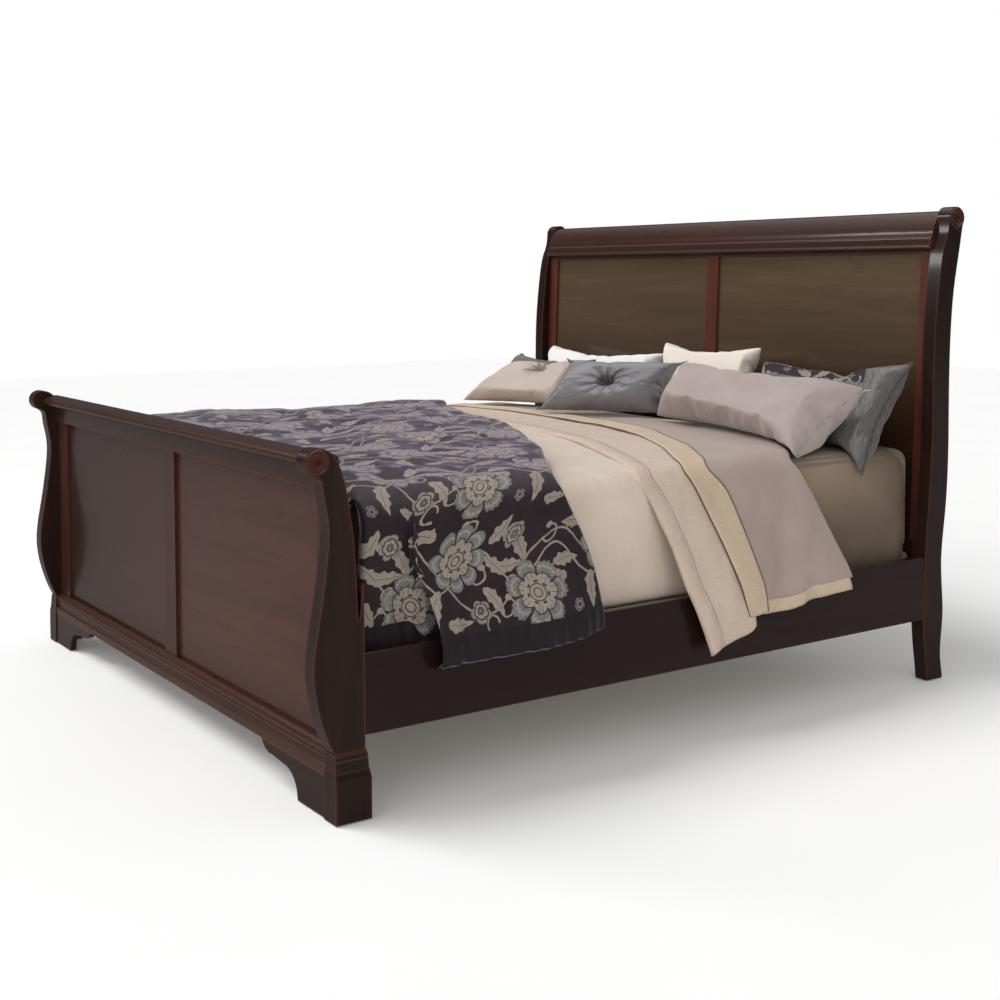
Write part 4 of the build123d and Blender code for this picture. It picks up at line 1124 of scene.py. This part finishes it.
# name, cloth, flat size, thickness, corners (y from the foot), pins, seed, and the node it stands for
pillow_list = [
    ("patterned_sham_case", satin_cloth.mat, (0.66, 0.44), 0.11,
     [(0.38, 2.05, 0.78), (1.00, 1.91, 0.69), (0.985, 2.165, 1.018), (0.34, 2.17, 1.000)],
     (), 5, "patterned_sham"),
    ("back_pillow_case", pale_cloth.mat, (0.74, 0.40), 0.11,
     [(-0.87, 2.06, 0.78), (-0.17, 2.08, 0.78), (-0.17, 2.17, 1.003), (-0.855, 2.155, 1.012)],
     (), 7, "back_pillow"),
    ("cream_cushion_case", ivory_cloth.mat, (0.50, 0.42), 0.10,
     [(-0.08, 2.04, 0.79), (0.38, 2.04, 0.79), (0.38, 2.115, 1.05), (-0.115, 2.115, 1.055)],
     (), 9, "cream_cushion"),
    ("satin_sham_case", satin_cloth.mat, (0.56, 0.34), 0.09,
     [(-0.98, 1.90, 0.78), (-0.45, 1.95, 0.79), (-0.46, 2.06, 0.968), (-0.925, 2.03, 0.974)],
     (), 11, "satin_sham"),
    ("linen_pillow_case", knot_cloth.mat, (0.56, 0.34), 0.12,
     [(-0.90, 1.71, 0.79), (-0.40, 1.83, 0.79), (-0.40, 1.98, 0.965), (-0.73, 1.895, 0.960)],
     [(0.03, 0.09, 0.018, 0.020)], 13, "linen_pillow"),
    ("king_pillow_case", case_cloth.mat, (0.92, 0.46), 0.17,
     [(0.16, 1.82, 0.81), (0.97, 1.645, 0.745), (0.97, 1.96, 0.952), (0.165, 1.955, 0.972)],
     (), 15, "king_pillow"),
    ("tufted_cushion_case", tuft_cloth.mat, (0.46, 0.34), 0.20,
     [(-0.30, 1.64, 0.80), (0.08, 1.905, 0.80), (0.085, 2.01, 0.985), (-0.29, 1.79, 0.980)],
     [(0.0, 0.0, 0.022, 0.006)], 17, "tufted_cushion"),
]
made_pillows = {}
for name, cloth, size, plump, corners, pins, seed, node in pillow_list:
    flange = {"tufted_cushion": 0.036, "king_pillow": 0.055}.get(node, 0.0)
    cord = piping_cloth.mat if node in ("satin_sham", "patterned_sham") else None
    case = make_pillow(
        name, cloth, size, plump, corners, pins, seed, flange, cord,
        open_end=node == "king_pillow", pattern=node == "patterned_sham",
    )
    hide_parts(node)
    made_pillows[node] = case


def covered_button(host, radius=0.013):
    """A satin-covered button sunk in the middle of the tufted cushion."""
    layout = host.data.uv_layers["cloth"].data
    middle, best = None, 9.0
    for face in host.data.polygons[: len(host.data.polygons) // 2]:
        for loop in face.loop_indices:
            far = layout[loop].uv.length
            if far < best:
                best, middle = far, host.data.vertices[host.data.loops[loop].vertex_index]
    out = middle.normal.normalized()
    rows = []
    for k in range(9):
        angle = k / 8 * math.pi / 2
        ring = radius * math.cos(angle)
        around = np.linspace(0, 2 * math.pi, 25)
        rows.append([(ring * math.cos(t), ring * math.sin(t), 0.006 * math.sin(angle)) for t in around])
    points = np.array(rows)
    turn = np.array(out.to_track_quat("Z", "Y").to_matrix())
    moved = points @ turn.T + np.array(middle.co + out * 0.002)
    button = grid_mesh("cushion_button_cover", moved, points[..., :2].copy(), satin_cloth.mat)
    declare(button, "grey_satin", "cushion_button")


covered_button(made_pillows["tufted_cushion"])
for label, cloth_piece, row in (("first_piping", band, 0), ("second_piping", band, -1)):
    line = edge_line(cloth_piece, row)
    trim = ring_tube(label + "_cord", line, 0.0015, piping_cloth.mat, closed=False)
    declare(trim, "taupe_cotton")


# ---------------------------------------------------------------- floor, light and camera
def stage_floor():
    mesh = bpy.data.meshes.new("floor")
    edge = 14.0
    square = [(-edge, -edge, 0), (edge, -edge, 0), (edge, edge, 0), (-edge, edge, 0)]
    mesh.from_pydata(square, [], [(0, 1, 2, 3)])
    floor = add_object("floor", mesh)
    m = Material("pale_floor", Specular_IOR_Level=0.1)
    cloudy = m.noise(m.position((1, 1, 1)), 2.0, 3.0, 0.5)
    pale = m.ramp(cloudy, [(0.3, (0.92, 0.92, 0.92)), (0.7, (0.94, 0.94, 0.94))])
    mirrored = m.val(m.node("ShaderNodeLightPath").outputs["Is Glossy Ray"])
    m.color(m.mix(mirrored, pale, (0.16, 0.15, 0.145)))
    m.preset(Emission_Color=(1, 1, 1, 1), Emission_Strength=0.06)
    m.rough(cloudy, 0.85, 0.95)
    mesh.materials.append(m.mat)


def lamp(name, kind, toward, power, color=(1, 1, 1)):
    data = bpy.data.lights.new(name, kind)
    data.energy, data.color = power, color
    light = add_object(name, data)
    light.rotation_euler = Vector(toward).to_track_quat("-Z", "Y").to_euler()
    return light


def sun(name, toward, power, soft, color=(1, 1, 1)):
    """A broad soft light that leaves no mirror image in the lacquer."""
    light = lamp(name, "SUN", toward, power, color)
    light.data.angle = math.radians(soft)
    light.visible_glossy = False


stage_floor()
world = bpy.data.worlds.new("studio")
world.use_nodes = True
tree = world.node_tree
back = tree.nodes["Background"]
back.inputs["Color"].default_value = (1.0, 1.0, 1.0, 1.0)
rays = tree.nodes.new("ShaderNodeLightPath")
seen = Val(tree, rays.outputs["Is Camera Ray"])
glossy = Val(tree, rays.outputs["Is Glossy Ray"])
way = tree.nodes.new("ShaderNodeSeparateXYZ")
tree.links.new(tree.nodes.new("ShaderNodeTexCoord").outputs["Generated"], way.inputs[0])
overhead = Val(tree, way.outputs["Z"]).under(0.72, 0.22).flipped()
strength = seen * 0.58 + glossy * (overhead * 1.35 - 0.34) + 0.42
tree.links.new(strength.socket, back.inputs["Strength"])
bpy.context.scene.world = world
bpy.context.scene.view_settings.view_transform = "Standard"

sun("studio_top", (0.40, 0.50, -1.0), 1.55, 32)
sun("front_fill", (-0.2, 0.9, -0.35), 0.8, 60)
sun("right_fill", (-0.9, 0.35, -0.30), 0.62, 60, (1.0, 0.95, 0.90))
key_place = Vector((-3.2, -3.8, 3.6))
key = lamp("key", "AREA", Vector((0, -0.2, 0.6)) - key_place, 40)
key.location = key_place
key.data.shape = "RECTANGLE"
key.data.size, key.data.size_y = 1.4, 1.0

yaw, pitch, roll = math.radians(57.5344), math.radians(-3.0580), math.radians(-0.3089)
ahead = Vector((-math.sin(yaw) * math.cos(pitch), math.cos(yaw) * math.cos(pitch), math.sin(pitch)))
level = Vector((math.cos(yaw), math.sin(yaw), 0))
upward = level.cross(ahead)
right = math.cos(roll) * level + math.sin(roll) * upward
upright = -math.sin(roll) * level + math.cos(roll) * upward
camera_data = bpy.data.cameras.new("camera")
camera_data.sensor_width = 36.0
camera_data.lens = 51.31
camera_data.shift_x = 0.0871
camera_data.shift_y = -0.1506
camera_data.clip_end = 60.0
camera = add_object("camera", camera_data)
turn = Matrix((right, upright, -ahead)).transposed().to_4x4()
camera.matrix_world = Matrix.Translation((3.9682, -2.7640, 1.32017)) @ turn
bpy.context.scene.camera = camera
